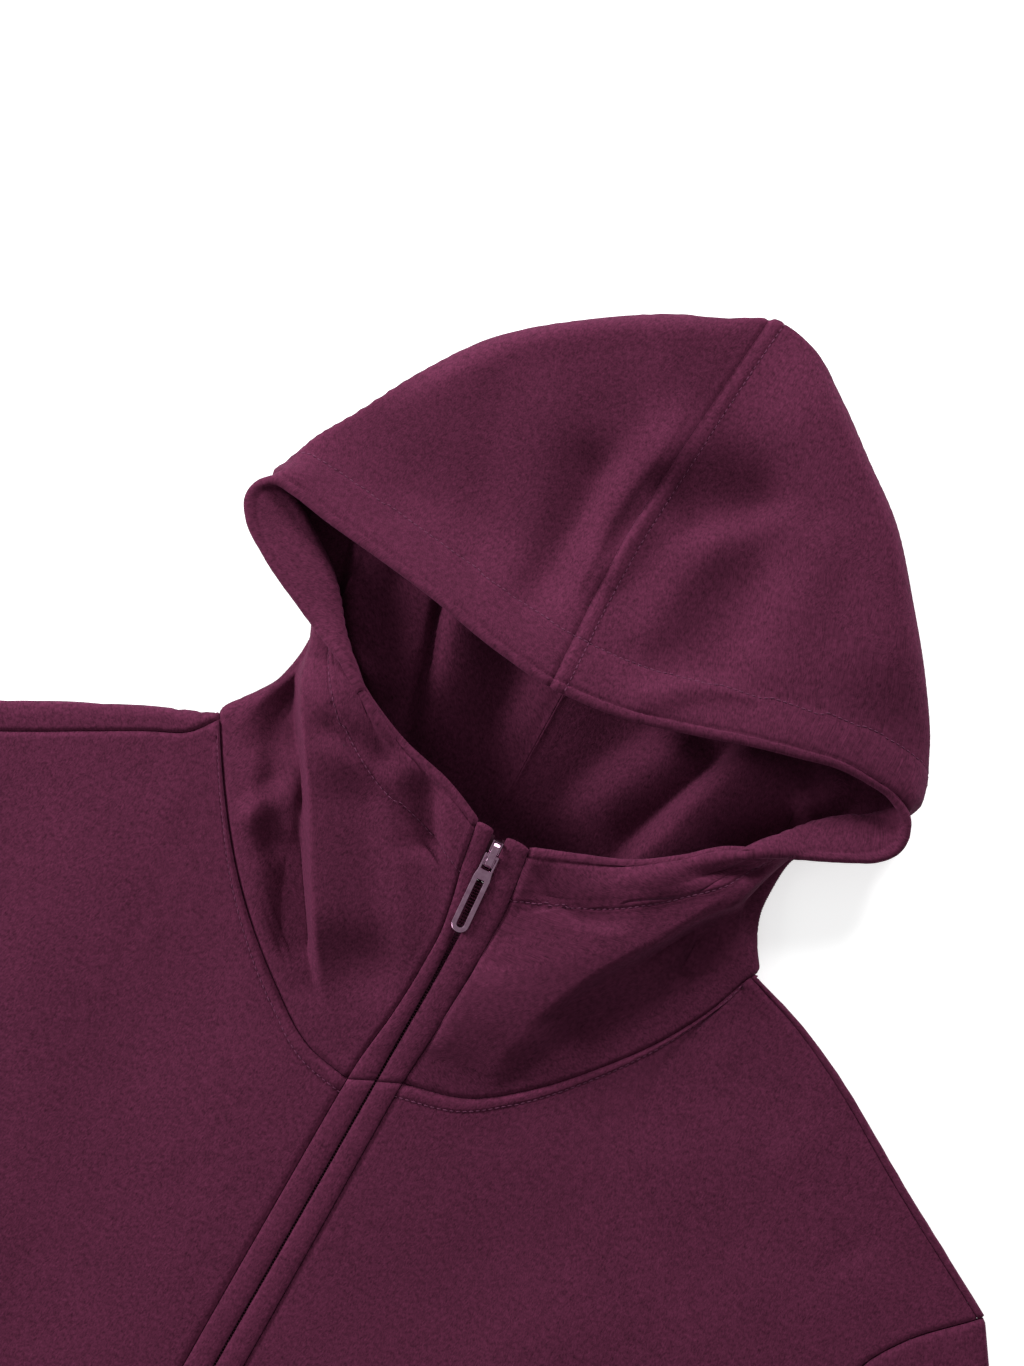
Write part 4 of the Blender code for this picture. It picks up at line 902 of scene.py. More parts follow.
halves = []
for start in (0.0, 0.5):
    station = dense_round + start
    half = seam_snap(hood_surface(station, dense_up), station, dense_up)
    half = with_places(half, station, dense_up)
    half = respaced(half, 1, SEAM_ROWS, HOOD_ROWS, HEM_ROWS, edge_crowd)
    halves.append(respaced(half, 0, SEAM_ROWS, HOOD_COLUMNS, SEAM_ROWS, collar_crowd))
hood = np.concatenate([halves[0], halves[1][1:]])
crown_column = len(halves[0]) - 1

station, height = hood[..., 3], hood[..., 4]
at_back = within(station, (0.24, 0.28), (0.72, 0.76))
held_low, held_high = step_up(height, 0.0, 0.10), step_up(-height, -1.0, -0.94)
on_collar = 1 - within(station, (0.20, 0.235), (0.765, 0.80))
plan = hood[..., :2].copy()
unfolded = hood.copy()
over_top = step_up(height, 0.495, 0.57) * at_back
low_back = at_back * (1 - step_up(height, 0.30, 0.46)) * held_low
for folds, where, times in (
    (COLLAR_FOLDS, on_collar * held_low * held_high, 4),
    (INSIDE_FOLDS, low_back, 1),
    ((*CROWN_FOLDS, BRIM_TUCK), over_top, 3),
):
    hood[..., :3] += softened(fold_move(folds, plan) * where[..., None], times)
hood[..., 2] = np.maximum(hood[..., 2], BACK_Z + COLLAR_CLEAR * (1 - at_back) * held_low)
hood_normals = normals_of(hood, flip=True)
print("hood grid:", hood.shape[:2])

# %% Hood halves
HEM_SWELL = 0.9  # the face swells between the hem's edge and its stitches
SWELL_END = 20.5
EDGE_GROOVE = {"at": 2.0, "depth": 0.8, "width": 0.55}  # behind the turned edge, on the face
INSIDE_GROOVE = {"at": 3.0, "depth": 0.45, "width": 0.7}
SEAM_BEAD = 0.5  # the crown seam's turnings, which show as a bead inside the hood
BACK_BELOW = 20.0  # the hood's back lies below this height, and its top above it
HALF_GAP = 0.01

hood_faces, hood_edges = {}, {}
for side, span in (("left", slice(0, crown_column + 1)), ("right", slice(crown_column, None))):
    grid, normals = hood[span], hood_normals[span]
    away = from_edges(unfolded[span])
    crown, strip = (away["u1"], away["u0"]) if side == "left" else (away["u0"], away["u1"])
    hem = away["v1"]
    outer = CLOTH / 2 + dip(away["v0"]) + dip(strip) + dip(crown, 0.75) + band(crown) * (side == "right")
    outer += hem_face(hem, away["u0"], 3, 0.7, 24.0) + groove(hem, **EDGE_GROOVE)
    outer += HEM_SWELL * np.sin(np.pi * np.clip(hem / SWELL_END, 0, 1))
    inner = CLOTH / 2 + hem_layer(hem) + groove(hem, **INSIDE_GROOVE)
    inner += SEAM_BEAD * fading(crown, 1.6) * (grid[..., 2] < BACK_BELOW)
    grid = pulled_in(grid, ("u0", "u1", "v0"), HALF_GAP)
    piece, face = wall(f"hood_{side}_cloth", grid, normals, outer, inner, round_edges=("v1",))
    hood_faces[side], hood_edges[side] = face, away
    dress(piece, f"hood_{side}")

# %% [markdown]
# ## The lines of the body
#
# The fronts lie on the back. Each front runs from its strip beside the zip to the side, and up to
# the neck and shoulder seams. The shoulder seams sit a little forward, so the back rolls over the
# shoulder fold to reach them. A side row is y, left x, right x and height.

# %% Tables of the body
SIDE = (
    (-515.0, -271.0, 255.0, 5.8),
    (-488.0, -272.0, 256.0, 5.8),
    (-462.0, -273.0, 257.0, 3.3),
    (-340.0, -276.0, 260.0, 3.1),
    (-260.0, -278.0, 262.0, 3.4),
    (-208.0, -279.0, 263.0, 4.8),
    (-172.0, -262.0, 246.0, 5.6),
    (-125.0, -246.5, 230.5, 6.0),
    (-75.0, -237.0, 221.0, 6.0),
    (-35.0, -235.0, 219.0, 6.0),
    (-8.0, -239.0, 223.0, 6.0),
    (10.0, -249.5, 233.0, 6.0),
)
UNDERARM_ROW = 5
SHOULDER_FOLD = {
    "left": ((-127.8, 99.4), (-141.0, 94.0), (-170.0, 81.0), (-205.0, 63.0), (-274.0, 29.5)),
    "right": ((113.9, 109.6), (136.0, 102.4), (158.0, 92.4), (206.0, 64.0), (257.0, 34.6)),
}
SHOULDER_SEAM = {
    "left": ((-124.6, 99.0), (-133.0, 88.4), (-147.0, 81.4), (-200.0, 52.6), (-265.0, 21.6)),
    "right": ((110.8, 109.6), (135.0, 101.0), (156.7, 90.6), (204.2, 62.0), (255.5, 33.0)),
}
BACK_FALL = (5.3, -4.8)  # from the shoulder fold to where the back lies flat, left side
FOLD_Z = 3.4
OVER_Z = 5.9
OVER_SHARE = 0.4  # a line past the fold lies this share of the way to the seam,
OVER_DROP = 0.2  # and this much lower
NECK_STEPS = (9.0, 6.0, 3.0)  # at the neck nothing turns over, so the lines step down from the seam
NECK_TURN = 0.235  # station of the hood where the neck seam meets the shoulder seam
NECK_CORNER = 0.5  # share of a front's top line that is neck seam
NECK_CORNER_BACK = 0.28  # share of the back's width that each shoulder takes
FLAT_SHARE = 0.9  # share of the back's rows that lie flat
NEAR_FLAT_END = 0.985  # share of the flat part where the roll over the shoulder takes its slope
ROLL_KNOTS = np.array([-0.35, 0.0, 0.35, 0.6, 1.0])  # where the roll's lines lie on its way up


# %% Lines of the body
def placket_line(side, at):
    """Points of the seam between a front and its strip, from hem to neck seam."""
    top = NECK_AT_ZIP[0] if side == "left" else NECK_AT_ZIP[2]
    y = HEM_Y + (top - HEM_Y) * np.asarray(at, float)
    found = table_line(PLACKET, [1 if side == "left" else 3, 4], y)
    return np.stack([found[:, 0], y, found[:, 1]], axis=1)


def side_points(side, end, lift=None):
    """The rows of the side's table and then its end, with all rows at one height if it is given."""
    rows = np.array(SIDE, float)
    points = np.stack([rows[:, 1 if side == "left" else 2], rows[:, 0], rows[:, 3]], axis=1)
    if lift is not None:
        points[:, 2] = lift
    return np.concatenate([points, [end]])


def side_line(side, end, at, lift=None):
    """Points of the side seam and the armhole, from hem to a given end at the shoulder."""
    return line_at(side_points(side, end, lift), at)


def underarm_share(side, end, lift=None):
    """Share of the side line's length at which the underarm lies."""
    return by_distance(side_points(side, end, lift))[UNDERARM_ROW]


def shoulder_seam(side, at):
    """Points of the shoulder seam, from the neck out."""
    return line_at([(x, y, OVER_Z) for x, y in SHOULDER_SEAM[side]], at)


def stretched(bottom, top, start, end, u, v):
    """A sheet between four edges, each a function from a share of its length to points."""
    low, high = bottom(np.array([0.0, 1.0])), top(np.array([0.0, 1.0]))
    across, up = u[:, None, None], v[None, :, None]
    corners = (1 - up) * ((1 - across) * low[0] + across * low[1])
    corners = corners + up * ((1 - across) * high[0] + across * high[1])
    by_rows = (1 - up) * bottom(u)[:, None] + up * top(u)[:, None]
    return by_rows + (1 - across) * start(v)[None] + across * end(v)[None] - corners


# %% Surface of a front
def front_surface(side, u, v):
    """The middle of a front: u from strip to side, v from hem to neck and shoulder."""
    first, last = (0.0, NECK_TURN) if side == "left" else (1.0, 1 - NECK_TURN)
    end = np.array([*SHOULDER_SEAM[side][-1], OVER_Z])

    def hem(at):
        corners = placket_line(side, [0.0]), side_line(side, end, [0.0])
        return corners[0] * (1 - at[:, None]) + corners[1] * at[:, None]

    def top(at):
        on_neck = ring(NECK_SEAM, first + (last - first) * np.clip(at / NECK_CORNER, 0, 1))
        on_shoulder = shoulder_seam(side, np.clip((at - NECK_CORNER) / (1 - NECK_CORNER), 0, 1))
        return np.where((at <= NECK_CORNER)[:, None], on_neck, on_shoulder)

    return stretched(hem, top, lambda at: placket_line(side, at), lambda at: side_line(side, end, at), u, v)


# %% Surface of the back
def back_lines(b):
    """The back's top edge and the three lines below it, for shares of its width."""
    width = NECK_CORNER_BACK
    neck_at = NECK_TURN + (1 - 2 * NECK_TURN) * np.clip((b - width) / (1 - 2 * width), 0, 1)
    left_at, right_at = np.clip(1 - b / width, 0, 1), np.clip((b - 1 + width) / width, 0, 1)
    seam = ring(NECK_SEAM, neck_at)
    seam = np.where((b < width)[:, None], shoulder_seam("left", left_at), seam)
    seam = np.where((b > 1 - width)[:, None], shoulder_seam("right", right_at), seam)
    fold_left = line_at([(x, y, FOLD_Z) for x, y in SHOULDER_FOLD["left"]], left_at)
    fold_right = line_at([(x, y, FOLD_Z) for x, y in SHOULDER_FOLD["right"]], right_at)
    fold = np.where((b < 0.5)[:, None], fold_left, fold_right)
    inward = np.where(b < 0.5, 1.0, -1.0)
    fall = np.stack([inward * BACK_FALL[0], np.full(len(b), BACK_FALL[1]), 0 * b], axis=1)
    turned = (1 - within(neck_at, (0.235, 0.262), (0.738, 0.765)))[:, None]
    far, near, nearest = (seam + step * np.array([0.0, -1.0, 0.0]) for step in NECK_STEPS)
    floor_line = (fold + fall) * turned + far * (1 - turned)
    floor_line[:, 2] = BACK_Z
    apex = fold * turned + near * (1 - turned)
    over = (fold + OVER_SHARE * (seam - fold)) * turned + nearest * (1 - turned)
    over[:, 2] = (OVER_Z - OVER_DROP) * turned[:, 0] + seam[:, 2] * (1 - turned[:, 0])
    return floor_line, apex, over, seam


def back_surface(b, v):
    """The middle of the back: b from left to right, v from hem (0) over the shoulder fold (1)."""
    corner_left, corner_right = back_lines(np.array([0.0, 1.0]))[0]

    def hem(at):
        ends = side_line("left", corner_left, [0.0], BACK_Z), side_line("right", corner_right, [0.0], BACK_Z)
        return ends[0] * (1 - at[:, None]) + ends[1] * at[:, None]

    edges = (
        hem,
        lambda at: back_lines(at)[0],
        lambda at: side_line("left", corner_left, at, BACK_Z),
        lambda at: side_line("right", corner_right, at, BACK_Z),
    )
    flat = stretched(*edges, b, np.clip(v / FLAT_SHARE, 0, 1))
    before = stretched(*edges, b, np.array([NEAR_FLAT_END]))[:, 0]
    lines = np.stack([before, *back_lines(b)])
    rate = np.diff(lines, axis=0) / np.diff(ROLL_KNOTS)[:, None, None]
    at = np.clip((v - FLAT_SHARE) / (1 - FLAT_SHARE), ROLL_KNOTS[0], 1.0)
    turned = cubic(ROLL_KNOTS, lines, held_slopes(rate), at).transpose(1, 0, 2)
    return np.where((v > FLAT_SHARE)[None, :, None], turned, flat)


# %% [markdown]
# The body hangs from nothing, so its folds are few and shallow: faint drags from the underarms and
# from the neck, and long soft waves down the front, as a heavy knit keeps when it is smoothed flat.

# %% Folds of the body
BODY_FOLDS = (
    (1.0, 30.0, 30.0, ((-210, -150), (-170, -210), (-120, -300))),
    (-0.9, 26.0, 26.0, ((-236, -140), (-205, -215), (-170, -330))),
    (1.0, 30.0, 30.0, ((198, -150), (160, -215), (118, -300))),
    (-0.9, 26.0, 26.0, ((222, -150), (196, -220), (160, -330))),
    (0.8, 34.0, 34.0, ((-150, 60), (-140, -20), (-120, -110))),
    (0.8, 34.0, 34.0, ((128, 70), (120, -20), (104, -120))),
    (-0.7, 30.0, 30.0, ((-90, 10), (-84, -80), (-80, -190))),
    (-0.7, 30.0, 30.0, ((72, 20), (70, -80), (66, -190))),
    (1.1, 36.0, 36.0, ((-100, -240), (-112, -340), (-104, -450))),
    (1.0, 36.0, 36.0, ((90, -260), (100, -350), (92, -450))),
    (-0.8, 30.0, 30.0, ((-190, -330), (-182, -400), (-186, -470))),
    (-0.8, 30.0, 30.0, ((180, -330), (176, -400), (172, -470))),
    (0.7, 9.0, 9.0, ((-136, 84), (-128, 66), (-124, 48))),
    (0.6, 8.0, 8.0, ((120, 98), (116, 80), (114, 62))),
    (0.6, 9.0, 9.0, ((168, 76), (160, 58), (156, 40))),
    (-0.6, 8.0, 8.0, ((210, 44), (196, 30), (188, 12))),
)
random = np.random.default_rng(11)
WAVES = [  # x and y of a wave's direction, its length and where it starts
    (*random.uniform(-1, 1, 2), random.uniform(60, 130), random.uniform(0, 6.28)) for _ in range(7)
]


def soft_waves(plan, size=0.3):
    """Broad uneven waves that a smoothed-out knit keeps."""
    lift = np.zeros(plan.shape[:-1])
    for x, y, stretch, start in WAVES:
        way = np.array([x, y]) / math.hypot(x, y)
        lift += np.sin(plan @ way * 2 * math.pi / stretch + start)
    return lift * size / 2


def settled(folds, grid):
    """How far folds and soft waves lift a grid of cloth."""
    return fold_move(folds, grid[..., :2])[..., 2] + soft_waves(grid[..., :2])


def joined(parts):
    """Grids side by side in one, with their shared lines once."""
    return np.concatenate([parts[0]] + [part[1:] for part in parts[1:]])


# %% Fronts
body_faces, body_edges = {}, {}
for side in SIDES:
    up = np.linspace(0, 1, 420)
    parts = []
    for span, near_start, count, near_end in (
        ((0.0, NECK_CORNER), SEAM_ROWS, 44, PLAIN_ROWS),
        ((NECK_CORNER, 1.0), PLAIN_ROWS, 34, SEAM_ROWS),
    ):
        part = front_surface(side, np.linspace(*span, 160), up)
        part = respaced(part, 1, HEM_ROWS, 150, SEAM_ROWS)
        parts.append(respaced(part, 0, near_start, count, near_end))
    grid = joined(parts)
    away = from_edges(grid)
    inside = step_up(np.minimum(away["v1"], away["u1"]), 4, 30) * step_up(away["v0"], 4, 40)
    inside *= step_up(away["u0"], 2, 40)
    grid[..., 2] += settled(BODY_FOLDS, grid) * inside
    normals = normals_of(grid, flip=side == "left")
    hem = away["v0"]
    on_neck = (np.arange(len(grid)) < len(parts[0]))[:, None]
    outer = CLOTH / 2 + dip(away["v1"]) + dip(away["u0"], 1.0, 1.6) + dip(away["u1"], 0.7)
    outer += (band(away["v1"], 0.55) + puckers(away["u0"], 6, 0.10) * beside(away["v1"], 6, 10)) * on_neck
    outer += hem_face(hem, away["u0"], 5)
    inner = CLOTH / 2 + hem_layer(hem)
    grid = pulled_in(grid, ("u0", "u1", "v1"))
    piece, face = wall(f"front_{side}_cloth", grid, normals, outer, inner, round_edges=("v0",))
    body_faces[side], body_edges[side] = face[: len(parts[0])], away["v1"][: len(parts[0])]
    body_faces["hem_" + side], body_edges["hem_" + side] = face, away["v0"]
    dress(piece, f"front_{side}")

# %% Back
BACK_SPANS = (  # shares of the width, and the columns between them
    (0.0, NECK_CORNER_BACK, 26),
    (NECK_CORNER_BACK, 1 - NECK_CORNER_BACK, 44),
    (1 - NECK_CORNER_BACK, 1.0, 26),
)
up = np.concatenate([np.linspace(0, FLAT_SHARE, 300)[:-1], np.linspace(FLAT_SHARE, 1, 160)])
shoulder_rows = np.concatenate([SEAM_ROWS, np.arange(11, 40, 1.6)])
parts = []
for first, last, count in BACK_SPANS:
    part = back_surface(np.linspace(first, last, 150), up)
    part = respaced(part, 1, HEM_ROWS, 84, shoulder_rows)
    parts.append(respaced(part, 0, PLAIN_ROWS, count, PLAIN_ROWS))
grid = joined(parts)
away = from_edges(grid)
normals = normals_of(grid, flip=True)
outer = CLOTH / 2 + dip(away["v1"])
outer += puckers(away["u0"], 8, 0.16) * beside(away["v1"], 12, 22) * step_up(grid[..., 2], 2, 4)
inner = CLOTH / 2 + hem_layer(away["v0"])
grid = pulled_in(grid, ("u0", "u1", "v1"))
back, _ = wall("back_cloth", grid, normals, outer, inner, round_edges=("v0",))
dress(back, "back")

# %% [markdown]
# ## Sleeves
#
# A sleeve is a tube that starts on the armhole's own line and lies down to a flat loop with round
# ends at the cuff. Its creases run across the elbow and fan out from the underarm, only in the
# layer that is on top, since the lower layer rests on the table.

# %% Tables of the sleeves
CUFF = {"left": ((-561.0, -403.0), (-484.0, -470.0)), "right": ((545.0, -403.0), (468.0, -470.0))}
UNDER_OUT = (2.6, -2.6)  # from the body's underarm corner to the sleeve's lowest point
UNDER_GAP = 1.1  # the sleeve stands this much further off the body at the underarm
UNDER_REACH = 7.0
UNDER_MOST = 0.45  # and its edge is drawn back by no more than this
SLEEVE_LOFT = 6.4  # middle of the sleeve's upper layer
LEFT_SLEEVE_FOLDS = (
    (2.2, 14.0, 14.0, ((-268, -30), (-300, -90), (-330, -165))),
    (-1.8, 12.0, 12.0, ((-258, -78), (-288, -130), (-318, -190))),
    (2.0, 12.0, 12.0, ((-262, -140), (-300, -170), (-350, -190))),
    (-1.6, 10.0, 10.0, ((-280, -180), (-320, -206), (-372, -226))),
    (2.4, 11.0, 11.0, ((-470, -190), (-430, -235), (-384, -262))),
    (-2.0, 10.0, 10.0, ((-480, -214), (-440, -258), (-398, -286))),
    (2.0, 11.0, 11.0, ((-492, -240), (-452, -286), (-414, -306))),
    (1.6, 14.0, 14.0, ((-500, -300), (-490, -350), (-505, -400))),
    (-1.4, 12.0, 12.0, ((-450, -320), (-470, -380), (-500, -432))),
)
MIRROR_AT = -16.0  # x of a point and of its mirror image on the other sleeve add up to this
RIGHT_SLEEVE_FOLDS = tuple(
    (rise, right, left, tuple((MIRROR_AT - x, y) for x, y in run))
    for rise, left, right, run in LEFT_SLEEVE_FOLDS
)
SLEEVE_FOLDS = {"left": LEFT_SLEEVE_FOLDS, "right": RIGHT_SLEEVE_FOLDS}


# %% The cuff's loop
def stadium(outer, inner, top, bottom, at):
    """A flat loop with round ends in a plane through two points, from its outer end round."""
    radius = (top - bottom) / 2
    way = np.array(inner) - np.array(outer)
    length = np.linalg.norm(way) - 2 * radius
    way = way / np.linalg.norm(way)
    quarter = math.pi * radius / 2
    run = np.where(at <= 0.5, at * 2, 2 - at * 2) * (length + 2 * quarter)
    first, last = np.clip(run / quarter, 0, 1), np.clip((run - quarter - length) / quarter, 0, 1)
    forward = radius * (1 - np.cos(first * math.pi / 2)) + np.clip(run - quarter, 0, length)
    forward = forward + radius * np.sin(last * math.pi / 2)
    rise = radius * np.sin(first * math.pi / 2) - radius * (1 - np.cos(last * math.pi / 2))
    rise = rise * np.where(at <= 0.5, 1, -1) + (top + bottom) / 2
    return np.concatenate([np.array(outer) + forward[:, None] * way, rise[:, None]], axis=1)


# %% Sleeves
sleeve_faces, sleeve_edges = {}, {}
corners = dict(zip(SIDES, back_lines(np.array([0.0, 1.0]))[0]))
for side, edge_at in (("left", 0.0), ("right", 1.0)):
    shoulder = np.array([*SHOULDER_SEAM[side][-1], OVER_Z])
    front_edge = side_line(side, shoulder, np.linspace(underarm_share(side, shoulder), 1, 46))
    under_back = FLAT_SHARE * underarm_share(side, corners[side], BACK_Z)
    back_up = np.concatenate([np.linspace(under_back, FLAT_SHARE, 34)[:-1], np.linspace(FLAT_SHARE, 1, 14)])
    back_edge = back_surface(np.array([edge_at]), back_up)[0]
    under = (front_edge[0] + back_edge[0]) / 2
    under = under + np.array([UNDER_OUT[0] * (-1 if side == "left" else 1), UNDER_OUT[1], 0.0])
    loop = np.concatenate([front_edge[::-1], [under], back_edge[:-1]])
    outer_fold = len(front_edge) + 1 + int(np.argmin(abs(back_edge[:-1, 2] - FOLD_Z)))
    loop = np.roll(loop, -outer_fold, axis=0)
    turn = len(loop) - outer_fold + len(front_edge)
    closed = np.concatenate([loop, loop[:1]])
    run = np.concatenate([by_distance(closed[: turn + 1]) / 2, 0.5 + by_distance(closed[turn:])[1:-1] / 2])
    cuff = stadium(*CUFF[side], SLEEVE_LOFT, BACK_Z, run)
    along = np.linspace(0, 1, 200)[None, :, None]
    grid = respaced(loop[:, None] * (1 - along) + cuff[:, None] * along, 1, SEAM_ROWS, 80, HEM_ROWS)
    away = from_edges(grid)
    upper = step_up(grid[..., 2], 4.2, 5.8) * step_up(away["v0"], 3, 30) * step_up(away["v1"], 20, 50)
    grid[..., 2] += settled(SLEEVE_FOLDS[side], grid) * upper
    normals = np.cross(np.roll(grid, -1, axis=0) - np.roll(grid, 1, axis=0), np.gradient(grid, axis=1))
    normals /= np.linalg.norm(normals, axis=-1, keepdims=True)
    normals = -normals if side == "left" else normals
    hem = away["v1"]
    outer = CLOTH / 2 + dip(away["v0"], 0.8, 1.6) + hem_face(hem, away["u0"], 9)
    inner = CLOTH / 2 + hem_layer(hem)
    apart = np.linalg.norm(grid[:, 0, :2] - under[:2], axis=1)
    off = SEAM_GAP + UNDER_GAP * fading(apart, UNDER_REACH)
    way = grid[:, 1] - grid[:, 0]
    grid[:, 0] += way / np.linalg.norm(way, axis=-1, keepdims=True) * np.minimum(off, UNDER_MOST)[:, None]
    piece, face = wall(f"sleeve_{side}_cloth", grid, normals, outer, inner, round_edges=("v1",), closed=True)
    sleeve_faces[side], sleeve_edges[side] = face, away["v1"]
    dress(piece, f"sleeve_{side}")

# %% [markdown]
# ## Strips beside the zip
#
# Each strip is a narrow band of the same knit folded over the tape's edge, so it is soft and round
# across. It is sewn in two lengths that meet in line with the neck seam.

# %% Strips
STRIP_THICK = 3.0
STRIP_WIDTH = 15  # columns across a strip
STRIP_UP = 0.4  # how far a strip's middle lies above the cloth beside it
STRIP_EDGE = {"face": 0.25, "inside": 0.2}  # from the middle to both sides at a long edge
STRIP_RISE = {"face": STRIP_THICK / 2 - 0.1, "inside": STRIP_THICK / 2 - 0.35}  # more at the centre
STRIP_LEAST = 0.2  # the face stays at least this far from the middle


def strip_surface(side, bottom, top, shift_in, shift_z, edge, u, v):
    """A strip beside the zip: u from its outer seam to the zip, v up between two y lines.

    The edge is a share of the gap and a distance, which the strip keeps from the zip's middle.
    """
    way = 1.0 if side == "left" else -1.0
    u, v = u[:, None], v[None, :]
    low = bottom[0] + (bottom[1] - bottom[0]) * u
    high = top[0] + (top[1] - top[0]) * u
    y = low + (high - low) * v
    found = table_line(PLACKET, [1 if side == "left" else 3, 2, 4, 5], y.ravel()).reshape(*y.shape, 4)
    outer = found[..., 0] + way * shift_in
    inner = found[..., 1] - way * (found[..., 3] * edge[0] + edge[1])
    return np.stack([outer + (inner - outer) * u, y, found[..., 2] + shift_z], axis=-1)


across = (1 - np.cos(np.linspace(0, math.pi, STRIP_WIDTH))) / 2
roll = (1 - abs(2 * across - 1) ** 2.4) ** 0.5
strips = []
cuts = {"left": NECK_AT_ZIP[:2], "right": NECK_AT_ZIP[:0:-1]}
for side in SIDES:
    for part, bottom, top, rows in (
        ("body", (HEM_Y, HEM_Y), cuts[side], 200),
        ("collar", cuts[side], (COLLAR_TOP, COLLAR_TOP), 90),
    ):
        up = np.linspace(0, 1, rows)
        grid = strip_surface(side, bottom, top, 0.0, STRIP_UP, (0.5, 0.0), across, up)
        normals = normals_of(grid, flip=side == "right")
        run = lengths(grid, 1)
        end_dip = dip(run, 0.7) if part == "collar" else dip(run[:, -1:] - run, 0.7)
        outer = STRIP_EDGE["face"] + STRIP_RISE["face"] * roll[:, None] + end_dip
        outer = np.maximum(outer + puckers(run, len(strips), 0.1, 9.0), STRIP_LEAST)
        inner = STRIP_EDGE["inside"] + STRIP_RISE["inside"] * roll[:, None]
        grid = pulled_in(grid, ("u0", "v1") if part == "body" else ("u0", "v0"))
        round_edges = ("v0",) if part == "body" else ("v1",)
        piece, _ = wall(f"strip_{part}_{side}", grid, normals, outer, inner, round_edges)
        strips.append(piece)
        dress(piece, f"placket_{part}_{side}")

# %% [markdown]
# ## The zip
#
# Woven tape runs under both strips and carries a moulded coil. The teeth show only where the
# strips part below the slider. Each tooth is a small rounded bar, so one short mesh is placed
# along a curve by Geometry Nodes, and the bars stand in turn in two rows.

# %% Tapes
TAPE_THICK = 0.7
TEETH_HALF = 1.7  # from the zip's middle to the tape's edge
BOX_HEIGHT = 9.0
TAPE_DOWN = -CLOTH / 2 - SEAM_GAP - TAPE_THICK / 2
TAPE_ROWS = 260

for side in SIDES:
    ends = (HEM_Y + BOX_HEIGHT + 0.5,) * 2, (COLLAR_TOP - 1,) * 2
    across, up = np.linspace(0, 1, 5), np.linspace(0, 1, TAPE_ROWS)
    grid = strip_surface(side, *ends, 1.0, TAPE_DOWN, (0.0, TEETH_HALF), across, up)
    normals = normals_of(grid, flip=side == "right")
    weave = 0.04 * np.cos(np.arange(TAPE_ROWS) * math.pi)[None]
    piece, _ = wall(f"tape_{side}", grid, normals, TAPE_THICK / 2 + weave, TAPE_THICK / 2)
    dress(piece, f"zip_tape_{side}", TAPE)


# %% Placing small shapes along a line
def line_object(name, lines):
    """A curve object of open lines, from points in millimetres."""
    curve = bpy.data.curves.new(name, "CURVE")
    curve.dimensions = "3D"
    for points in lines:
        spline = curve.splines.new("POLY")
        spline.points.add(len(points) - 1)
        flat = np.concatenate([to_frame(points), np.ones((len(points), 1))], axis=1)
        spline.points.foreach_set("co", flat.ravel())
    holder = bpy.data.objects.new(name, curve)
    bpy.context.scene.collection.objects.link(holder)
    return holder


BAR_SIZES = {"Pitch": 0.0026, "Length": 0.0019, "Width": 0.0006, "Height": 0.0005, "Unevenness": 0.1}
TEETH_APART = 0.0014  # between the two rows that the teeth stand in


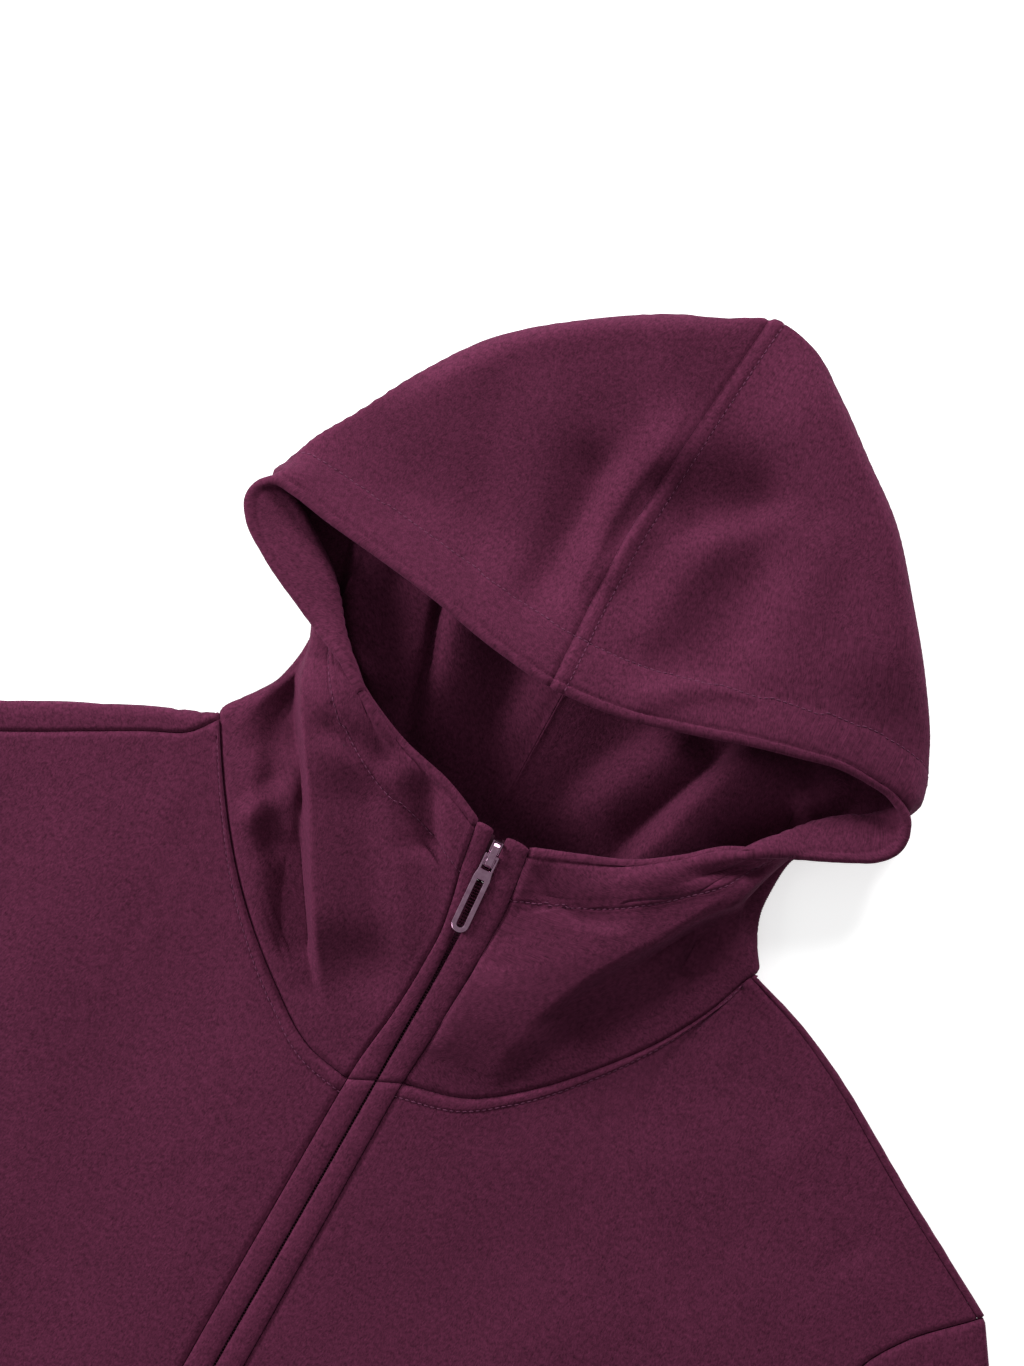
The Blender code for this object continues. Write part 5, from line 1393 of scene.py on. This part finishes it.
def placing_tree(name, every_second):
    """A node tree that sets a rounded bar along a curve, one each pitch."""
    tree = bpy.data.node_groups.new(name, "GeometryNodeTree")
    tree.interface.new_socket(name="Geometry", in_out="INPUT", socket_type="NodeSocketGeometry")
    for label, value in BAR_SIZES.items():
        socket = tree.interface.new_socket(name=label, in_out="INPUT", socket_type="NodeSocketFloat")
        socket.default_value = value
    tree.interface.new_socket(name="Material", in_out="INPUT", socket_type="NodeSocketMaterial")
    tree.interface.new_socket(name="Geometry", in_out="OUTPUT", socket_type="NodeSocketGeometry")
    entry, leave = tree.nodes.new("NodeGroupInput"), tree.nodes.new("NodeGroupOutput")
    spread = add_node(tree, "GeometryNodeResampleCurve", mode="LENGTH")
    bead = add_node(tree, "GeometryNodeMeshUVSphere", {"Segments": 6, "Rings": 4, "Radius": 0.5})
    tangent = tree.nodes.new("GeometryNodeInputTangent")
    turn = add_node(tree, "FunctionNodeAlignRotationToVector", axis="X")
    size = tree.nodes.new("ShaderNodeCombineXYZ")
    uneven = add_node(tree, "FunctionNodeRandomValue", {"Seed": 4}, data_type="FLOAT")
    spots = tree.nodes.new("GeometryNodeInstanceOnPoints")
    real = tree.nodes.new("GeometryNodeRealizeInstances")
    smooth_faces = tree.nodes.new("GeometryNodeSetShadeSmooth")
    finish = tree.nodes.new("GeometryNodeSetMaterial")
    join = tree.links.new
    join(entry.outputs["Geometry"], spread.inputs["Curve"])
    join(entry.outputs["Pitch"], spread.inputs["Length"])
    join(spread.outputs["Curve"], spots.inputs["Points"])
    join(bead.outputs["Mesh"], spots.inputs["Instance"])
    join(tangent.outputs["Tangent"], turn.inputs["Vector"])
    join(turn.outputs["Rotation"], spots.inputs["Rotation"])
    join(math_node(tree, "SUBTRACT", 1.0, entry.outputs["Unevenness"]), uneven.inputs[2])
    join(math_node(tree, "ADD", 1.0, entry.outputs["Unevenness"]), uneven.inputs[3])
    for label, socket in (("Length", "X"), ("Width", "Y"), ("Height", "Z")):
        join(entry.outputs[label], size.inputs[socket])
    grown = add_node(tree, "ShaderNodeVectorMath", operation="SCALE")
    join(size.outputs["Vector"], grown.inputs[0])
    join(uneven.outputs[1], grown.inputs["Scale"])
    join(grown.outputs["Vector"], spots.inputs["Scale"])
    if every_second:
        odd = math_node(tree, "MODULO", tree.nodes.new("GeometryNodeInputIndex").outputs[0], 2.0)
        aside = math_node(tree, "MULTIPLY", math_node(tree, "SUBTRACT", odd, 0.5), TEETH_APART)
        shift = tree.nodes.new("ShaderNodeCombineXYZ")
        join(aside, shift.inputs["Y"])
        move = tree.nodes.new("GeometryNodeTranslateInstances")
        join(spots.outputs["Instances"], move.inputs["Instances"])
        join(shift.outputs["Vector"], move.inputs["Translation"])
        join(move.outputs["Instances"], real.inputs["Geometry"])
    else:
        join(spots.outputs["Instances"], real.inputs["Geometry"])
    join(real.outputs["Geometry"], smooth_faces.inputs["Geometry"])
    join(smooth_faces.outputs["Geometry"], finish.inputs["Geometry"])
    join(entry.outputs["Material"], finish.inputs["Material"])
    join(finish.outputs["Geometry"], leave.inputs["Geometry"])
    return tree


def placed_along(name, lines, tree, material, **sizes):
    """Small shapes along lines, as one plain mesh."""
    holder = line_object(name + "_path", lines)
    modifier = holder.modifiers.new("placed", "NODES")
    modifier.node_group = tree
    sockets = {item.name: item.identifier for item in tree.interface.items_tree if item.in_out == "INPUT"}
    for label, value in sizes.items():
        modifier[sockets[label.capitalize()]] = value
    modifier[sockets["Material"]] = material
    evaluated = holder.evaluated_get(bpy.context.evaluated_depsgraph_get())
    mesh = bpy.data.meshes.new_from_object(evaluated)
    holder.modifiers.remove(modifier)
    bpy.data.objects.remove(holder, do_unlink=True)
    mesh.name = name
    piece = bpy.data.objects.new(name, mesh)
    bpy.context.scene.collection.objects.link(piece)
    mesh.calc_loop_triangles()
    print(name, len(mesh.loop_triangles), "triangles")
    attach(piece, "hoodie")
    return piece


# %% Teeth
TEETH = placing_tree("zip_teeth_along", every_second=True)
tooth_y = np.linspace(HEM_Y + BOX_HEIGHT + 2, COLLAR_TOP - 6, 400)
tooth_line = table_line(PLACKET, [2, 4], tooth_y)
tooth_line = np.stack([tooth_line[:, 0], tooth_y, tooth_line[:, 1] + TAPE_DOWN], axis=1)
TOOTH_SIZE = {"pitch": 0.0013, "length": 0.0010, "width": 0.0030, "height": 0.0012, "unevenness": 0.0}
teeth = placed_along("zip_teeth", [tooth_line], TEETH, TAPE, **TOOTH_SIZE)

# %% [markdown]
# ## Stitches
#
# The topstitching is a plain lockstitch in the cloth's own colour: short dashes of thread, each
# pressed into the groove beside its seam or hem. They follow the finished face of the cloth, so
# they are placed on the row of the grid that lies at the stitch's distance from the edge.


# %% Stitch lines
def line_on(face, away, at):
    """The points of a face at a distance from one of its edges."""
    return face[np.arange(len(face)), np.argmin(abs(away - at), axis=1)]


STITCH = placing_tree("stitches_along", every_second=False)
THREAD_LIFT = 0.25  # the thread lies this far proud of its groove
THREAD_SIZE = {"pitch": 0.0026, "length": 0.0021, "width": 0.00055, "height": 0.00045, "unevenness": 0.12}
stitch_lines = {
    "hood_hem": [line_on(hood_faces[side], hood_edges[side]["v1"], HEM_STITCH) for side in SIDES],
    "neck": [line_on(body_faces[side], body_edges[side], BAND) for side in SIDES],
    "crown": [line_on(hood_faces["right"].transpose(1, 0, 2), hood_edges["right"]["u0"].T, BAND)],
    "front_hem": [
        line_on(body_faces["hem_" + side], body_edges["hem_" + side], HEM_STITCH) for side in SIDES
    ],
    "cuffs": [line_on(sleeve_faces[side], sleeve_edges[side], HEM_STITCH) for side in SIDES],
}
for seam, lines in stitch_lines.items():
    lifted = [line + np.array([0.0, 0.0, THREAD_LIFT]) for line in lines]
    placed_along(f"stitches_{seam}", lifted, STITCH, THREAD, **THREAD_SIZE)

# %% [markdown]
# ## Metal
#
# The slider and its pull are die-cast, plated in a rosy mauve that matches the dye, and polished by
# handling. The CAD shapes are right, so they keep their meshes and get this finish.

# %% Metal and box
metal = bpy.data.materials.new("rosy_plated_metal")
metal.use_nodes = True
tree = metal.node_tree
shader = tree.nodes["Principled BSDF"]
place = add_node(tree, "ShaderNodeTexCoord")
wear = add_node(tree, "ShaderNodeTexNoise", {"Scale": 420.0, "Detail": 3.0, "Roughness": 0.6})
tree.links.new(place.outputs["Object"], wear.inputs["Vector"])
tone = add_node(tree, "ShaderNodeValToRGB")
tone.color_ramp.elements[0].color = (0.34, 0.15, 0.26, 1.0)
tone.color_ramp.elements[1].color = (0.62, 0.40, 0.54, 1.0)
tree.links.new(wear.outputs["Fac"], tone.inputs["Fac"])
tree.links.new(tone.outputs["Color"], shader.inputs["Base Color"])
rough = add_node(tree, "ShaderNodeMapRange", {"To Min": 0.16, "To Max": 0.34})
tree.links.new(wear.outputs["Fac"], rough.inputs["Value"])
tree.links.new(rough.outputs["Result"], shader.inputs["Roughness"])
shader.inputs["Metallic"].default_value = 1.0
for node in ("zip_slider", "pull_tab"):
    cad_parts[node].material_slots[0].material = metal
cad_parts["zip_box"].material_slots[0].material = TAPE
print("zip_slider, pull_tab and zip_box keep their shapes")

# %% [markdown]
# ## What each cloth was cut to
#
# The frame keeps the flat size of every sheet. A sleeve's and a strip's cut is given all round.

# %% Flat sizes
CUT = {
    "back_cloth": ((0.56, 0.66), 0.316),
    "front_left_cloth": ((0.28, 0.64), 0.150),
    "front_right_cloth": ((0.28, 0.64), 0.150),
    "hood_left_cloth": ((0.30, 0.42), 0.062),
    "hood_right_cloth": ((0.30, 0.42), 0.062),
    "sleeve_left_cloth": ((0.42, 0.58), 0.124),
    "sleeve_right_cloth": ((0.42, 0.58), 0.124),
    "strip_body_left": ((0.012, 0.513), None),
    "strip_body_right": ((0.012, 0.521), None),
    "strip_collar_left": ((0.0102, 0.118), None),
    "strip_collar_right": ((0.0102, 0.109), None),
    "tape_left": ((0.0102, 0.617), None),
    "tape_right": ((0.0102, 0.617), None),
}
for name, (flat, area) in CUT.items():
    piece, rests_on = bpy.data.objects[name], ["floor"] if name == "back_cloth" else ["back_cloth"]
